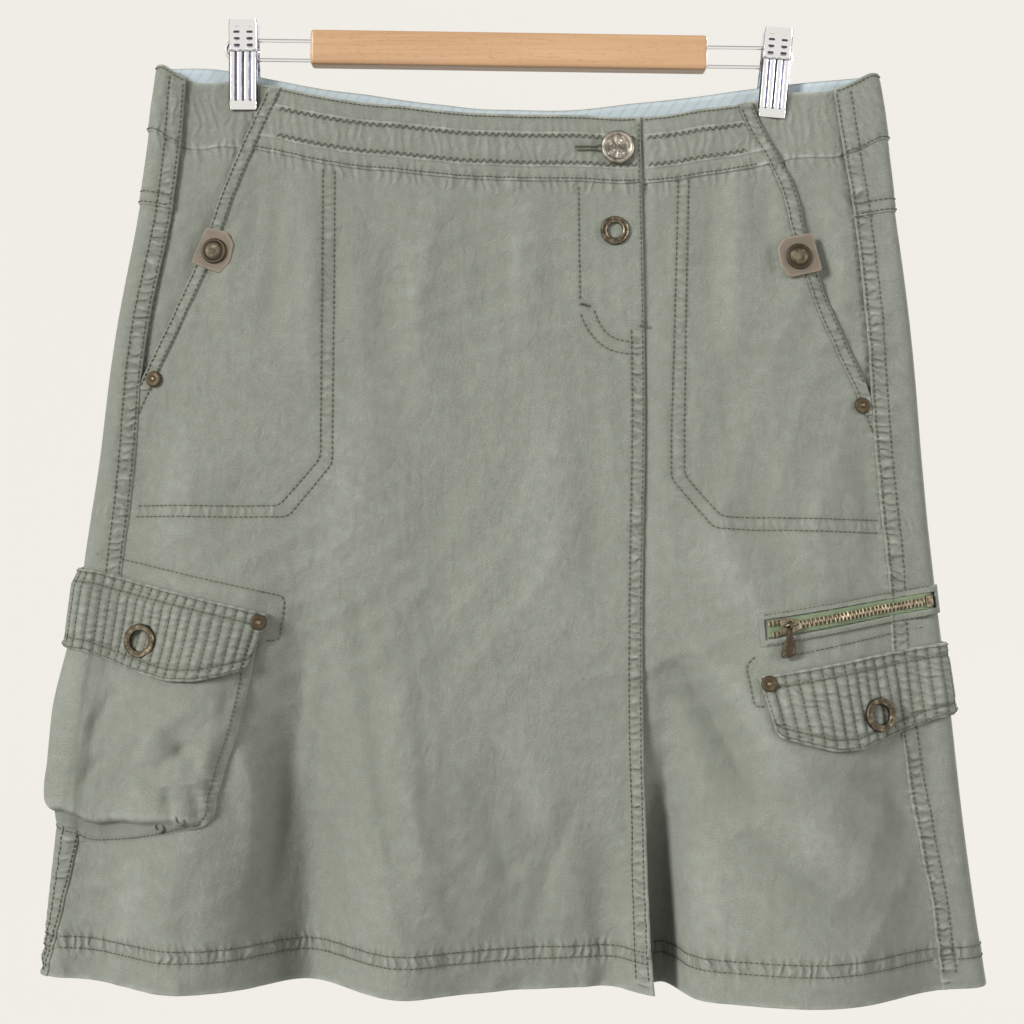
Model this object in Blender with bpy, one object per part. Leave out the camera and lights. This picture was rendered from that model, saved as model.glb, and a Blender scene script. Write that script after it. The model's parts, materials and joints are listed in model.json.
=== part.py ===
"""Cargo utility skirt hanging on a wooden clip hanger.

Units: the tables are in millimetres and every mesh is made in metres. +Z is up and the front
faces -Y. The origin is the middle of the hanger bar's top face, where a hook would hold it.

The skirt is a flattened tube. A place on it is (t, z): t runs from -1 at the left side over the
front to +1 at the right side, and on over the back to +3, which is the left side again. Each cloth
piece is a stretch of that tube, given by its edges, with a wall between two lifts off the tube.
"""

import math
from collections import namedtuple

import bmesh
import bpy
import numpy as np
from mathutils import Matrix, Vector

MM = 0.001

# ---------------------------------------------------------------- driving dimensions (mm)

WALL = 1.2            # cloth
GAP = 0.3             # between pieces at a seam
UNDER = -1.7          # inner face of what lies behind a panel
OVER = 1.7            # inner face of what lies on a panel
BAND_HEIGHT = 37.5
SLANT_STRIP = 8.0
TAPE_TOP = 16.0       # tape's edges, below the waist edge
TAPE_BOTTOM = 30.5
UNDERLAP = 12.0       # right front's run under the left front
BACK_START = 1.22     # t between which the back's columns are evenly spaced
BACK_END = 2.78
BACK_COLUMNS = 23
LAP_COLUMNS = 8
POCKET_FLOOR = -264.0
POCKET_INNER = 104.0
CAP_RISE = 45.0       # width over which the tube reaches its full depth
HEM = -528.0
HEM_SLOPE = -0.012
STRIP_THICKNESS = 0.9
TAPE_THICKNESS = 0.6
TAPE_TO_EDGE = 1.0    # left waist tape's end, short of the lap's edge
TAPE_PAST_LAP = 9.5   # right waist tape's start, past the lap's edge
SIDE_UNDERLAP = 3.0   # pocket backs' run under the side seams
MOUTH_UNDERLAP = 5.0  # and under the pocket mouths
STRIP_ENDS = (-200.0, -214.0)
FACING_LIFTS = (-1.5, -0.4)
FACING_DROPS = (0.03, 0.5, 0.8)

BAR = (221.0, 14.0, 19.5)
BAR_TILT = math.radians(0.86)
HOOK_RADIUS = 2.5
WIRE_RADIUS = 1.1
WIRE_HEIGHTS = (-5.5, -16.3)
WIRE_REACH = 158.2
BARREL_RADIUS = 3.9
PLATE = 1.0
PLATE_WIDTH = 16.0
PLATE_LENGTH = 50.0
PLATE_ABOVE = 15.5    # plate's top above the barrel's middle
LIP_LENGTH = 9.0

Level = namedtuple("Level", "z left right front back cap")
LEVELS = [
    Level(z=-545, left=-262, right=268, front=41, back=42, cap=13.0),
    Level(z=-450, left=-252, right=254, front=37, back=37, cap=11.5),
    Level(z=-380, left=-246, right=246, front=33, back=32, cap=10.5),
    Level(z=-300, left=-237, right=236, front=27, back=26, cap=9.0),
    Level(z=-240, left=-228, right=230, front=22, back=22, cap=8.0),
    Level(z=-170, left=-219, right=224, front=17, back=17, cap=7.0),
    Level(z=-100, left=-206, right=215, front=12, back=12, cap=5.5),
    Level(z=-60, left=-200, right=210, front=9, back=10, cap=4.5),
    Level(z=-15, left=-194, right=203, front=7, back=8, cap=3.6),
]

# A fold grows from nothing at its start to its full depth at the hem. Positive stands out.
Fold = namedtuple("Fold", "start x_start x_hem width depth")
FRONT_FOLDS = [
    Fold(start=-250, x_start=-180, x_hem=-187, width=30, depth=14),
    Fold(start=-230, x_start=-112, x_hem=-112, width=27, depth=-33),
    Fold(start=-260, x_start=-92, x_hem=-57, width=22, depth=14),
    Fold(start=-300, x_start=0, x_hem=20, width=34, depth=-16),
    Fold(start=-330, x_start=50, x_hem=56, width=20, depth=-19),
    Fold(start=-240, x_start=150, x_hem=165, width=62, depth=22),
]
# The right front also sinks away beside the left front's free edge, low down.
SLIT = Fold(start=-300, x_start=84, x_hem=87, width=12, depth=-30)
BACK_FOLDS = [
    Fold(start=-230, x_start=-150, x_hem=-165, width=38, depth=15),
    Fold(start=-260, x_start=-86, x_hem=-92, width=28, depth=-20),
    Fold(start=-250, x_start=-15, x_hem=-8, width=36, depth=14),
    Fold(start=-280, x_start=70, x_hem=78, width=30, depth=-22),
    Fold(start=-240, x_start=160, x_hem=172, width=40, depth=14),
]

Edge = namedtuple("Edge", "at value")
FRONT_TOP = [
    Edge(-195, -18), Edge(-180, -26), Edge(-156, -26.5), Edge(-137, -29), Edge(-105, -36),
    Edge(-57, -42), Edge(0, -46.5), Edge(38, -47), Edge(72, -48), Edge(106, -43.5),
    Edge(139, -37.8), Edge(158, -33), Edge(180, -32), Edge(204, -22.7),
]
BACK_TOP = [
    Edge(-195, -18), Edge(-158, -19.8), Edge(-140, -23), Edge(-77, -32), Edge(-39, -37),
    Edge(4, -40), Edge(74, -36), Edge(108, -32.5), Edge(140, -29), Edge(204, -22.7),
]
YOKE_SEAM = [Edge(-206, -96), Edge(0, -128), Edge(216, -100)]
SLANT_LEFT = [
    Edge(-230, -221), Edge(-188, -201), Edge(-131, -175), Edge(-110, -167), Edge(-67, -150),
    Edge(-31, -134), Edge(-20, -129),
]
SLANT_RIGHT = [
    Edge(-245, 218), Edge(-202, 200), Edge(-136, 172), Edge(-113, 165), Edge(-72, 151),
    Edge(-60, 144), Edge(-39, 134.7), Edge(-25, 129),
]
LAP_LEFT = [
    Edge(-545, -260), Edge(-489, -247), Edge(-448, -238), Edge(-370, -224), Edge(-292, -213),
    Edge(-235, -207), Edge(-170, -201), Edge(-98, -187), Edge(-26, -180),
]
LAP_RIGHT = [
    Edge(-545, 239), Edge(-502, 235), Edge(-433, 223), Edge(-392, 216), Edge(-292, 208.6),
    Edge(-232, 202.6), Edge(-136, 195.7), Edge(-60, 185), Edge(-33, 181),
]
FLY_EDGE = [Edge(-545, 80), Edge(-500, 77), Edge(-430, 74), Edge(-200, 75), Edge(-40, 73)]

CLIP_MIDDLES = {"left": -148.0, "right": 149.5}
CLIP_TILTS = {"left": 0.0, "right": math.radians(5)}
PINCH_FRONT = 3.2
PINCH_BACK = 3.8
PINCH_WIDTH = 32.0
PINCH_HEIGHT = 32.0
PINCH_LEVEL = -36.0

Flap = namedtuple("Flap", "top_in top_out side_in side_out point point_at")
FLAP_LEFT = Flap(
    top_in=(-132, -323), top_out=(-237, -298.5), side_in=(-142, -353), side_out=(-246, -343),
    point=(-178, -362), point_at=0.34,
)
FLAP_RIGHT = Flap(
    top_in=(134.3, -356.7), top_out=(240.5, -340), side_in=(143, -388.7), side_out=(245, -380),
    point=(182.5, -399), point_at=0.38,
)
FLAP_THICKNESS = 2.6
FLAP_LIFT = 2.1
FLAP_SPRING = 0.6     # how much more the right flap stands off at its bottom
FLAP_WRAP = 0.02      # how far past the side, in t, a flap runs

BAG_TOP = -334.0
BAG_RIGHT = [
    Edge(-452, -186), Edge(-438, -165), Edge(-421, -157.5), Edge(-406, -153.5),
    Edge(-382, -146.5), Edge(-330, -136),
]
BAG_FLOOR = [Edge(-250, -444), Edge(-214, -449), Edge(-192, -452), Edge(-165, -438)]
BAG_DEPTH = 11.0
BAG_WRAP = 0.06
BAG_BASE = 2.5

ZIP_START = (143.0, -331.0)
ZIP_END = (233.0, -316.5)
ZIP_WINDOW = 11.0
ZIP_WELT = 3.0
ZIP_LIFT = 0.9        # chain's and slider's underside, off the tape's
CHAIN_HALF = 1.9
CHAIN_HEIGHT = 1.4
CHAIN_END = 0.965
STOP_SPAN = (0.97, 0.995)
STOP_HALF = 3.2
SLIDER_AT = 0.10
SLIDER_LENGTH = 10.0
SLIDER_WIDTH = 7.5
SLIDER_BASE = 2.4
BRIDGE_HEIGHT = 2.8
BRIDGE_RADIUS = 0.8
PULL_EYE = (1.25, 2.3)
PULL_LENGTH = 17.0
PULL_LEAN = math.radians(20)

Spot = namedtuple("Spot", "x z")
RIVETS = {
    "rivet_pocket_left": Spot(-196.5, -193.8),
    "rivet_pocket_right": Spot(195.0, -208.5),
    "rivet_flap_left": Spot(-137.5, -327.5),
    "rivet_flap_right": Spot(140.0, -360.5),
}
LEATHER_TABS = {
    "left": (Spot(-163, -123), math.radians(-25)),
    "right": (Spot(159.7, -126.6), math.radians(14)),
}
WAIST_BUTTON = Spot(60.2, -66)
FLY_RING = Spot(58.6, -112)
FLAP_RINGS = {"ring_flap_left": Spot(-197, -338.5), "ring_flap_right": Spot(199, -378.5)}
EYELETS = {"eyelet_outer": Spot(-187, -438.5), "eyelet_inner": Spot(-176, -434)}

SAGE = (0.30, 0.32, 0.27)
SAGE_DARK = (0.25, 0.27, 0.22)
SHIRTING = (0.62, 0.70, 0.70)
TAPE_GREEN = (0.20, 0.28, 0.17)
BRASS = (0.45, 0.34, 0.22)
BRONZE = (0.20, 0.16, 0.12)
LEATHER = (0.33, 0.27, 0.20)
CHROME = (0.80, 0.80, 0.82)
BEECH = (0.62, 0.38, 0.20)
SILVER = (0.36, 0.33, 0.29)

LEATHER_HALF = (10.0, 11.5)
LEATHER_THICKNESS = 1.4
LEATHER_CORNER = 4.0
TRIM_LIFT = 1.3       # a trim's underside, off the strips' inner face


# ---------------------------------------------------------------- materials

def material(name, colour, roughness=0.9, metallic=0.0):
    """A Principled material, made once for each name."""
    found = bpy.data.materials.get(name)
    if found:
        return found
    made = bpy.data.materials.new(name)
    made.use_nodes = True
    shader = made.node_tree.nodes["Principled BSDF"]
    shader.inputs["Base Color"].default_value = (*colour, 1.0)
    shader.inputs["Roughness"].default_value = roughness
    shader.inputs["Metallic"].default_value = metallic
    return made


def cloth(name="cotton_twill", colour=SAGE):
    return material(name, colour)


def metal(name, colour, roughness=0.35):
    return material(name, colour, roughness, metallic=1.0)


# ---------------------------------------------------------------- curves through a table

def smooth(at, values, x):
    """A cubic curve through the rows of a table, level with the end rows outside them."""
    at = np.asarray(at, float)
    values = np.asarray(values, float)
    slopes = np.gradient(values, at)
    x = np.clip(np.asarray(x, float), at[0], at[-1])
    row = np.clip(np.searchsorted(at, x) - 1, 0, len(at) - 2)
    step = at[row + 1] - at[row]
    s = (x - at[row]) / step
    low = values[row] + s * step * slopes[row]
    high = values[row + 1] + (s - 1) * step * slopes[row + 1]
    blend = s * s * (3 - 2 * s)
    return low * (1 - blend) + high * blend


def edge(table, x):
    return smooth([row.at for row in table], [row.value for row in table], x)


def level(name, z):
    return smooth([row.z for row in LEVELS], [getattr(row, name) for row in LEVELS], z)


def ramp(x):
    """0 up to x = 0, 1 from x = 1, and smooth between."""
    x = np.clip(x, 0, 1)
    return x * x * (3 - 2 * x)


# ---------------------------------------------------------------- the tube

def fold_depth(folds, x, z):
    total = np.zeros(np.broadcast(x, z).shape)
    for fold in folds:
        grown = ramp((fold.start - z) / (fold.start - HEM))
        middle = fold.x_start + (fold.x_hem - fold.x_start) * grown
        total = total + fold.depth * grown * np.exp(-(((x - middle) / fold.width) ** 2))
    return total


def pinch(x, z):
    total = 0.0
    for middle in CLIP_MIDDLES.values():
        total = total + np.exp(-(((x - middle) / PINCH_WIDTH) ** 4))
    return total * np.exp(-(((z - PINCH_LEVEL) / PINCH_HEIGHT) ** 4))


def tube(t, z, folds=FRONT_FOLDS):
    """Points of the tube, in mm. A round cap at each side turns into flat faces with folds."""
    t, z = np.broadcast_arrays(np.mod(np.asarray(t, float) + 1, 4) - 1, np.asarray(z, float))
    left, right = level("left", z), level("right", z)
    half = (right - left) / 2
    across = np.sin(t * math.pi / 2)
    x = (left + right) / 2 + half * across
    from_side = half * (1 - np.abs(across))
    cap = level("cap", z)
    inside = np.clip(from_side / cap, 0, 1)
    rise = 1 - np.exp(-((np.maximum(from_side - cap, 0) / CAP_RISE) ** 2))
    front = cap + (level("front", z) - cap + fold_depth(folds, x, z)) * rise
    back = cap + (level("back", z) - cap + fold_depth(BACK_FOLDS, x, z)) * rise
    front = front - PINCH_FRONT * pinch(x, z)
    back = back - PINCH_BACK * pinch(x, z)
    depth = np.sqrt(inside * (2 - inside))
    y = np.where(t <= 1, -front * depth, back * depth)
    return np.stack([x, y, z], axis=-1)


def outward(t, z, folds=FRONT_FOLDS):
    """The tube's normal, from points close by."""
    along = tube(np.asarray(t) + 1e-3, z, folds) - tube(np.asarray(t) - 1e-3, z, folds)
    up = tube(t, np.asarray(z) + 0.5, folds) - tube(t, np.asarray(z) - 0.5, folds)
    normal = np.cross(along, up)
    return normal / np.linalg.norm(normal, axis=-1, keepdims=True)


def lifted(t, z, lift, folds=FRONT_FOLDS):
    t, z, lift = np.broadcast_arrays(t, z, lift)
    return tube(t, z, folds) + outward(t, z, folds) * lift[..., None]


def t_of(x, z):
    """The place on the front whose x is given."""
    left, right = level("left", z), level("right", z)
    across = (np.asarray(x, float) - (left + right) / 2) / ((right - left) / 2)
    return np.arcsin(np.clip(across, -1, 1)) * 2 / math.pi


def x_of(t, z):
    return tube(t, z)[..., 0]


def hem_line(x):
    return HEM + HEM_SLOPE * x


def waist_line(t):
    """Height of the waist edge, front and back, which meet at the sides."""
    x = x_of(t, -40.0)
    wrapped = np.mod(np.asarray(t, float) + 1, 4) - 1
    return np.where(wrapped <= 1, edge(FRONT_TOP, x), edge(BACK_TOP, x))


def band_seam(t):
    return waist_line(t) - BAND_HEIGHT


# ---------------------------------------------------------------- meshes

def place_mesh(name, points, faces, look, parent=None):
    """An object from points in mm and faces as rows of indices."""
    mesh = bpy.data.meshes.new(name)
    mesh.from_pydata((np.asarray(points) * MM).tolist(), [], [list(map(int, f)) for f in faces])
    mesh.validate()
    shape = bmesh.new()
    shape.from_mesh(mesh)
    bmesh.ops.recalc_face_normals(shape, faces=shape.faces)
    shape.to_mesh(mesh)
    shape.free()
    mesh.materials.append(look)
    made = bpy.data.objects.new(name, mesh)
    bpy.context.scene.collection.objects.link(made)
    made.parent = parent
    return made


def wall(name, outer, inner, look):
    """A closed wall between two grids of points, rows running down and columns across."""
    rows, columns = outer.shape[:2]
    points = np.concatenate([outer.reshape(-1, 3), inner.reshape(-1, 3)])
    index = np.arange(rows * columns).reshape(rows, columns)
    back = index + rows * columns
    a, b, c, d = index[:-1, :-1], index[1:, :-1], index[1:, 1:], index[:-1, 1:]
    out_faces = np.stack([a, b, c, d], axis=-1).reshape(-1, 4)
    in_faces = out_faces[:, ::-1] + rows * columns
    rim = np.concatenate([index[0, :], index[1:, -1], index[-1, -2::-1], index[-2:0:-1, 0]])
    behind = np.concatenate([back[0, :], back[1:, -1], back[-1, -2::-1], back[-2:0:-1, 0]])
    rim_faces = np.stack([rim, np.roll(rim, -1), np.roll(behind, -1), behind], axis=-1)
    return place_mesh(name, points, np.concatenate([out_faces, in_faces, rim_faces]), look)


def panel(name, t, z, low, high, look, folds=FRONT_FOLDS):
    """A cloth piece on grids of t and z, with its wall between the lifts low and high."""
    made = wall(name, lifted(t, z, high, folds), lifted(t, z, low, folds), look)
    made.data.shade_smooth()
    return made


def front_grid(left, right, top, bottom, columns, rows, crowd=None):
    """t and z of a piece of the front. left and right give x from z; top and bottom z from t."""
    u = np.linspace(0, 1, columns)
    if crowd:
        u = crowd(u)
    v = np.linspace(0, 1, rows)[:, None]
    middle = t_of((left(-100.0) * (1 - u) + right(-100.0) * u), -100.0)
    z_top, z_bottom = top(middle), bottom(middle)
    for _ in range(4):
        t_top = edge_t(left, right, z_top, u)
        t_bottom = edge_t(left, right, z_bottom, u)
        z_top, z_bottom = top(t_top), bottom(t_bottom)
    z = z_top * (1 - v) + z_bottom * v
    return edge_t(left, right, z, u), z


def edge_t(left, right, z, u):
    """The share u of the way from the left edge to the right one, in t."""
    return t_of(left(z), z) * (1 - u) + t_of(right(z), z) * u


def frame_at(x, z, lift, turn=0.0):
    """A matrix on the front at (x, z): +Z off the cloth, +X across it."""
    t = t_of(x, z)
    normal = Vector(outward(t, z))
    across = Vector((1, 0, 0)) - normal * normal.x
    across.normalize()
    up = normal.cross(across)
    turned = Matrix((across, up, normal)).transposed() @ Matrix.Rotation(turn, 3, "Z")
    place = Matrix.Translation(Vector(lifted(t, z, lift)) * MM)
    return place @ turned.to_4x4()


def turned(name, profile, segments, look, place):
    """A turned piece from a profile of (radius, height) in mm, spun about its own Z."""
    shape = bmesh.new()
    corners = [shape.verts.new((r * MM, 0, h * MM)) for r, h in profile]
    edges = [shape.edges.new(pair) for pair in zip(corners, corners[1:])]
    if profile[0][0] > 0:
        edges.append(shape.edges.new((corners[-1], corners[0])))
    bmesh.ops.spin(
        shape, geom=corners + edges, axis=(0, 0, 1), cent=(0, 0, 0),
        angle=2 * math.pi, steps=segments, use_duplicate=False,
    )
    bmesh.ops.remove_doubles(shape, verts=shape.verts, dist=1e-6)
    bmesh.ops.recalc_face_normals(shape, faces=shape.faces)
    mesh = bpy.data.meshes.new(name)
    shape.to_mesh(mesh)
    shape.free()
    mesh.materials.append(look)
    mesh.shade_smooth()
    mesh.set_sharp_from_angle(angle=math.radians(35))
    made = bpy.data.objects.new(name, mesh)
    bpy.context.scene.collection.objects.link(made)
    made.matrix_world = place
    return made


def prism(name, outline, low, high, look, place=None, parent=None):
    """An outline of (x, y) in mm given a thickness from low to high along Z."""
    count = len(outline)
    points = [(x, y, high) for x, y in outline] + [(x, y, low) for x, y in outline]
    sides = [(i, (i + 1) % count, (i + 1) % count + count, i + count) for i in range(count)]
    faces = [tuple(range(count)), tuple(range(2 * count - 1, count - 1, -1))] + sides
    made = place_mesh(name, points, faces, look, parent)
    if place:
        made.matrix_world = place
    return made


# ---------------------------------------------------------------- the cloth

def fly_edge(z):
    return edge(FLY_EDGE, z)


def outer_left(z):
    """Left edge of the left front: the pocket mouth, then the side seam."""
    seam, mouth = edge(LAP_LEFT, z), edge(SLANT_LEFT, z)
    return np.where(z > SLANT_LEFT[0].at, np.maximum(mouth, seam), seam) + GAP / 2


def outer_right(z):
    seam, mouth = edge(LAP_RIGHT, z), edge(SLANT_RIGHT, z)
    return np.where(z > SLANT_RIGHT[0].at, np.minimum(mouth, seam), seam) - GAP / 2


def tuck(t, z):
    """How far the right front sinks to pass under the left front's edge."""
    return UNDER * (1 - ramp((x_of(t, z) - fly_edge(z) - 1.5) / 7.0))


def below_band(t):
    return band_seam(t) - GAP


def at_hem(t):
    return hem_line(x_of(t, HEM))


def front_panels():
    look = cloth()
    t, z = front_grid(outer_left, fly_edge, below_band, at_hem, 20, 19)
    panel("front_left", t, z, 0, WALL, look)
    t, z = front_grid(
        lambda z: fly_edge(z) - UNDERLAP, outer_right, below_band, at_hem, 19, 19,
        crowd=lambda u: u ** 1.45,
    )
    sink = tuck(t, z)
    panel("front_right", t, z, sink, sink + WALL, look, FRONT_FOLDS + [SLIT])


def pocket_backs():
    """The pocket backs lie behind the fronts, and show between the mouths and the side seams."""
    look = cloth()
    t, z = front_grid(
        lambda z: edge(LAP_LEFT, z) - SIDE_UNDERLAP, lambda z: 0 * z - POCKET_INNER, below_band,
        lambda t: 0 * t + POCKET_FLOOR, 9, 10,
    )
    panel("pocket_back_left", t, z, UNDER, UNDER + WALL, look)
    t, z = front_grid(
        lambda z: 0 * z + POCKET_INNER - 5, lambda z: edge(LAP_RIGHT, z) + SIDE_UNDERLAP,
        below_band,
        lambda t: 0 * t + POCKET_FLOOR - 12, 9, 10,
    )
    panel("pocket_back_right", t, z, UNDER, UNDER + WALL, look)


def back_grid(top, bottom, rows):
    """t and z of a piece that runs round the back from one side seam to the other."""
    u = np.concatenate([
        np.linspace(0, 0.2, LAP_COLUMNS)[:-1], np.linspace(0.2, 0.8, BACK_COLUMNS),
        np.linspace(0.8, 1, LAP_COLUMNS)[1:],
    ])
    v = np.linspace(0, 1, rows)[:, None]

    def around(z):
        first = t_of(edge(LAP_RIGHT, z) + GAP / 2, z)
        last = t_of(edge(LAP_LEFT, z) - GAP / 2, z) + 4
        near_right = first + (BACK_START - first) * u / 0.2
        near_left = BACK_END + (last - BACK_END) * (u - 0.8) / 0.2
        behind = BACK_START + (BACK_END - BACK_START) * (u - 0.2) / 0.6
        return np.where(u < 0.2, near_right, np.where(u > 0.8, near_left, behind))

    z_top, z_bottom = top(around(-60.0)), bottom(around(-300.0))
    for _ in range(4):
        z_top, z_bottom = top(around(z_top)), bottom(around(z_bottom))
    z = z_top * (1 - v) + z_bottom * v
    return around(z), z


def yoke_line(t):
    return edge(YOKE_SEAM, x_of(t, -110.0))


def back_pieces():
    look = cloth()
    t, z = back_grid(lambda t: yoke_line(t) - GAP, at_hem, 17)
    panel("back_panel", t, z, 0, WALL, look)
    t, z = back_grid(below_band, yoke_line, 4)
    panel("back_yoke", t, z, 0, WALL, look)
    t, z = back_grid(waist_line, band_seam, 3)
    panel("waistband_back", t, z, 0, WALL, look)


def waist_facing():
    """The pale facing inside the back waistband, clear of both side folds."""
    drop = np.array(FACING_DROPS)[:, None]
    t = np.linspace(BACK_START, BACK_END, BACK_COLUMNS) + 0 * drop
    z = waist_line(t) - BAND_HEIGHT * drop
    panel("waist_facing_back", t, z, *FACING_LIFTS, cloth("shirting", SHIRTING))


def front_waistband():
    look = cloth()
    t, z = front_grid(outer_left, fly_edge, waist_line, band_seam, 17, 3)
    panel("waistband_front_left", t, z, 0, WALL, look)
    t, z = front_grid(lambda z: fly_edge(z) - UNDERLAP, outer_right, waist_line, band_seam, 11, 3)
    sink = tuck(t, z)
    panel("waistband_front_right", t, z, sink, sink + WALL, look)
    t, z = front_grid(
        lambda z: edge(LAP_LEFT, z) - SIDE_UNDERLAP,
        lambda z: edge(SLANT_LEFT, z) + MOUTH_UNDERLAP, waist_line, band_seam, 6, 3,
    )
    panel("waistband_side_left", t, z, UNDER, UNDER + WALL, look)
    t, z = front_grid(
        lambda z: edge(SLANT_RIGHT, z) - MOUTH_UNDERLAP,
        lambda z: edge(LAP_RIGHT, z) + SIDE_UNDERLAP, waist_line, band_seam, 6, 3,
    )
    panel("waistband_side_right", t, z, UNDER, UNDER + WALL, look)


def slant_strips():
    look = cloth()
    t, z = front_grid(
        outer_left, lambda z: edge(SLANT_LEFT, z) + SLANT_STRIP, waist_line,
        lambda t: 0 * t + STRIP_ENDS[0], 3, 12,
    )
    panel("slant_strip_left", t, z, OVER, OVER + STRIP_THICKNESS, look)
    t, z = front_grid(
        lambda z: edge(SLANT_RIGHT, z) - SLANT_STRIP, outer_right, waist_line,
        lambda t: 0 * t + STRIP_ENDS[1], 3, 12,
    )
    panel("slant_strip_right", t, z, OVER, OVER + STRIP_THICKNESS, look)


def waist_tapes():
    look = cloth()

    def top(t):
        return waist_line(t) - TAPE_TOP

    def bottom(t):
        return waist_line(t) - TAPE_BOTTOM

    t, z = front_grid(
        lambda z: edge(SLANT_LEFT, z) + SLANT_STRIP + GAP, lambda z: fly_edge(z) - TAPE_TO_EDGE,
        top, bottom, 15, 2,
    )
    panel("waist_tape_left", t, z, OVER, OVER + TAPE_THICKNESS, look)
    t, z = front_grid(
        lambda z: fly_edge(z) + TAPE_PAST_LAP, lambda z: edge(SLANT_RIGHT, z) - SLANT_STRIP - GAP,
        top, bottom, 6, 2,
    )
    panel("waist_tape_right", t, z, OVER, OVER + TAPE_THICKNESS, look)


def flap_grid(flap, columns, rows, mirror):
    """A flap from its corners: straight top, straight sides, and a bottom edge with a point."""
    u = np.linspace(0, 1, columns)
    v = np.linspace(0, 1, rows)[:, None]
    low = np.interp(u, (0, flap.point_at, 1), (flap.side_in[1], flap.point[1], flap.side_out[1]))
    top = flap.top_in[1] * (1 - u) + flap.top_out[1] * u
    z = top * (1 - v) + low * v
    inner = flap.top_in[0] * (1 - v) + flap.side_in[0] * v
    t_in = t_of(inner, z[:, :1])
    t_out = np.full_like(t_in, mirror * (1 + FLAP_WRAP))
    spread = np.sin(u * math.pi / 2) * 0.35 + u * 0.65
    t = t_in * (1 - spread) + t_out * spread
    if mirror < 0:
        return t[:, ::-1], z[:, ::-1], v
    return t, z, v


def bag_share(t, z):
    """How far across and down the bag a place on the tube lies, each from 0 to 1."""
    right = t_of(edge(BAG_RIGHT, z), z)
    u = np.clip((t + 1 + BAG_WRAP) / (right + 1 + BAG_WRAP), 0, 1)
    v = (BAG_TOP - z) / (BAG_TOP - edge(BAG_FLOOR, -250 + 85 * u))
    return u, np.clip(v, 0, 1)


def bag_lift(u, v):
    """How far the bag stands off: sewn down at its floor and side, open and easy at its top."""
    side = np.sin(np.clip(u, 0, 1) * math.pi) ** 0.45
    floor = np.sqrt(np.clip(1 - v ** 6, 0, 1))
    mouth = 0.32 + 0.68 * ramp(v / 0.45)
    return BAG_BASE + BAG_DEPTH * side * floor * mouth


def cargo_bag():
    """The left pocket's bellows bag: one wall over the side, open under the flap."""
    columns, rows = 15, 11
    u = np.linspace(0, 1, columns)
    v = np.linspace(0, 1, rows)[:, None]
    z_floor = edge(BAG_FLOOR, -250 + 85 * u)
    z = BAG_TOP * (1 - v) + z_floor * v
    right = t_of(edge(BAG_RIGHT, z[:, -1:]), z[:, -1:])
    t = (-1 - BAG_WRAP) * (1 - u) + right * u
    lift = bag_lift(u, v)
    panel("cargo_bag_left", t, z, lift, lift + WALL, cloth())


def flap_left_lift(t, z):
    """The left flap is sewn down at its top and rides over the bag below."""
    sewn = FLAP_LEFT.top_in[1] + (FLAP_LEFT.top_out[1] - FLAP_LEFT.top_in[1]) * ramp(-t * 2 - 1)
    clear = bag_lift(*bag_share(t, z)) + WALL + 1.4
    return FLAP_LIFT + (clear - FLAP_LIFT) * ramp((sewn - 1.0 - z) / 8.0)


def flaps():
    look = cloth("cotton_twill_quilted", SAGE_DARK)
    t, z, v = flap_grid(FLAP_LEFT, 14, 7, mirror=-1)
    low = flap_left_lift(t, z)
    panel("flap_left", t, z, low, low + FLAP_THICKNESS, look)
    t, z, v = flap_grid(FLAP_RIGHT, 13, 4, mirror=1)
    low = FLAP_LIFT + FLAP_SPRING * v + 0 * t
    panel("flap_right", t, z, low, low + FLAP_THICKNESS, look)


# ---------------------------------------------------------------- the zip

def zip_rise(s):
    """The zip's end stands off a little more where it turns round the side."""
    return 1.0 * ramp((s - 0.7) / 0.2)


def zip_place(s, lift):
    """Where the share s along the zip lies, in mm, with the t and z there."""
    x = ZIP_START[0] + (ZIP_END[0] - ZIP_START[0]) * s
    z = ZIP_START[1] + (ZIP_END[1] - ZIP_START[1]) * s
    t = t_of(x, z)
    return lifted(t, z, lift), t, z


def zip_strip(name, first, last, low_edge, high_edge, low, high, look, columns=12):
    """A strip along the zip between two heights across it."""
    s = np.linspace(first, last, columns)
    x = ZIP_START[0] + (ZIP_END[0] - ZIP_START[0]) * s
    z_middle = ZIP_START[1] + (ZIP_END[1] - ZIP_START[1]) * s
    z = z_middle + np.array([[high_edge], [low_edge]])
    t = t_of(x, z_middle) + 0 * z
    rise = zip_rise(s) + 0 * z
    panel(name, t, z, rise + low, rise + high, look)


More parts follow.
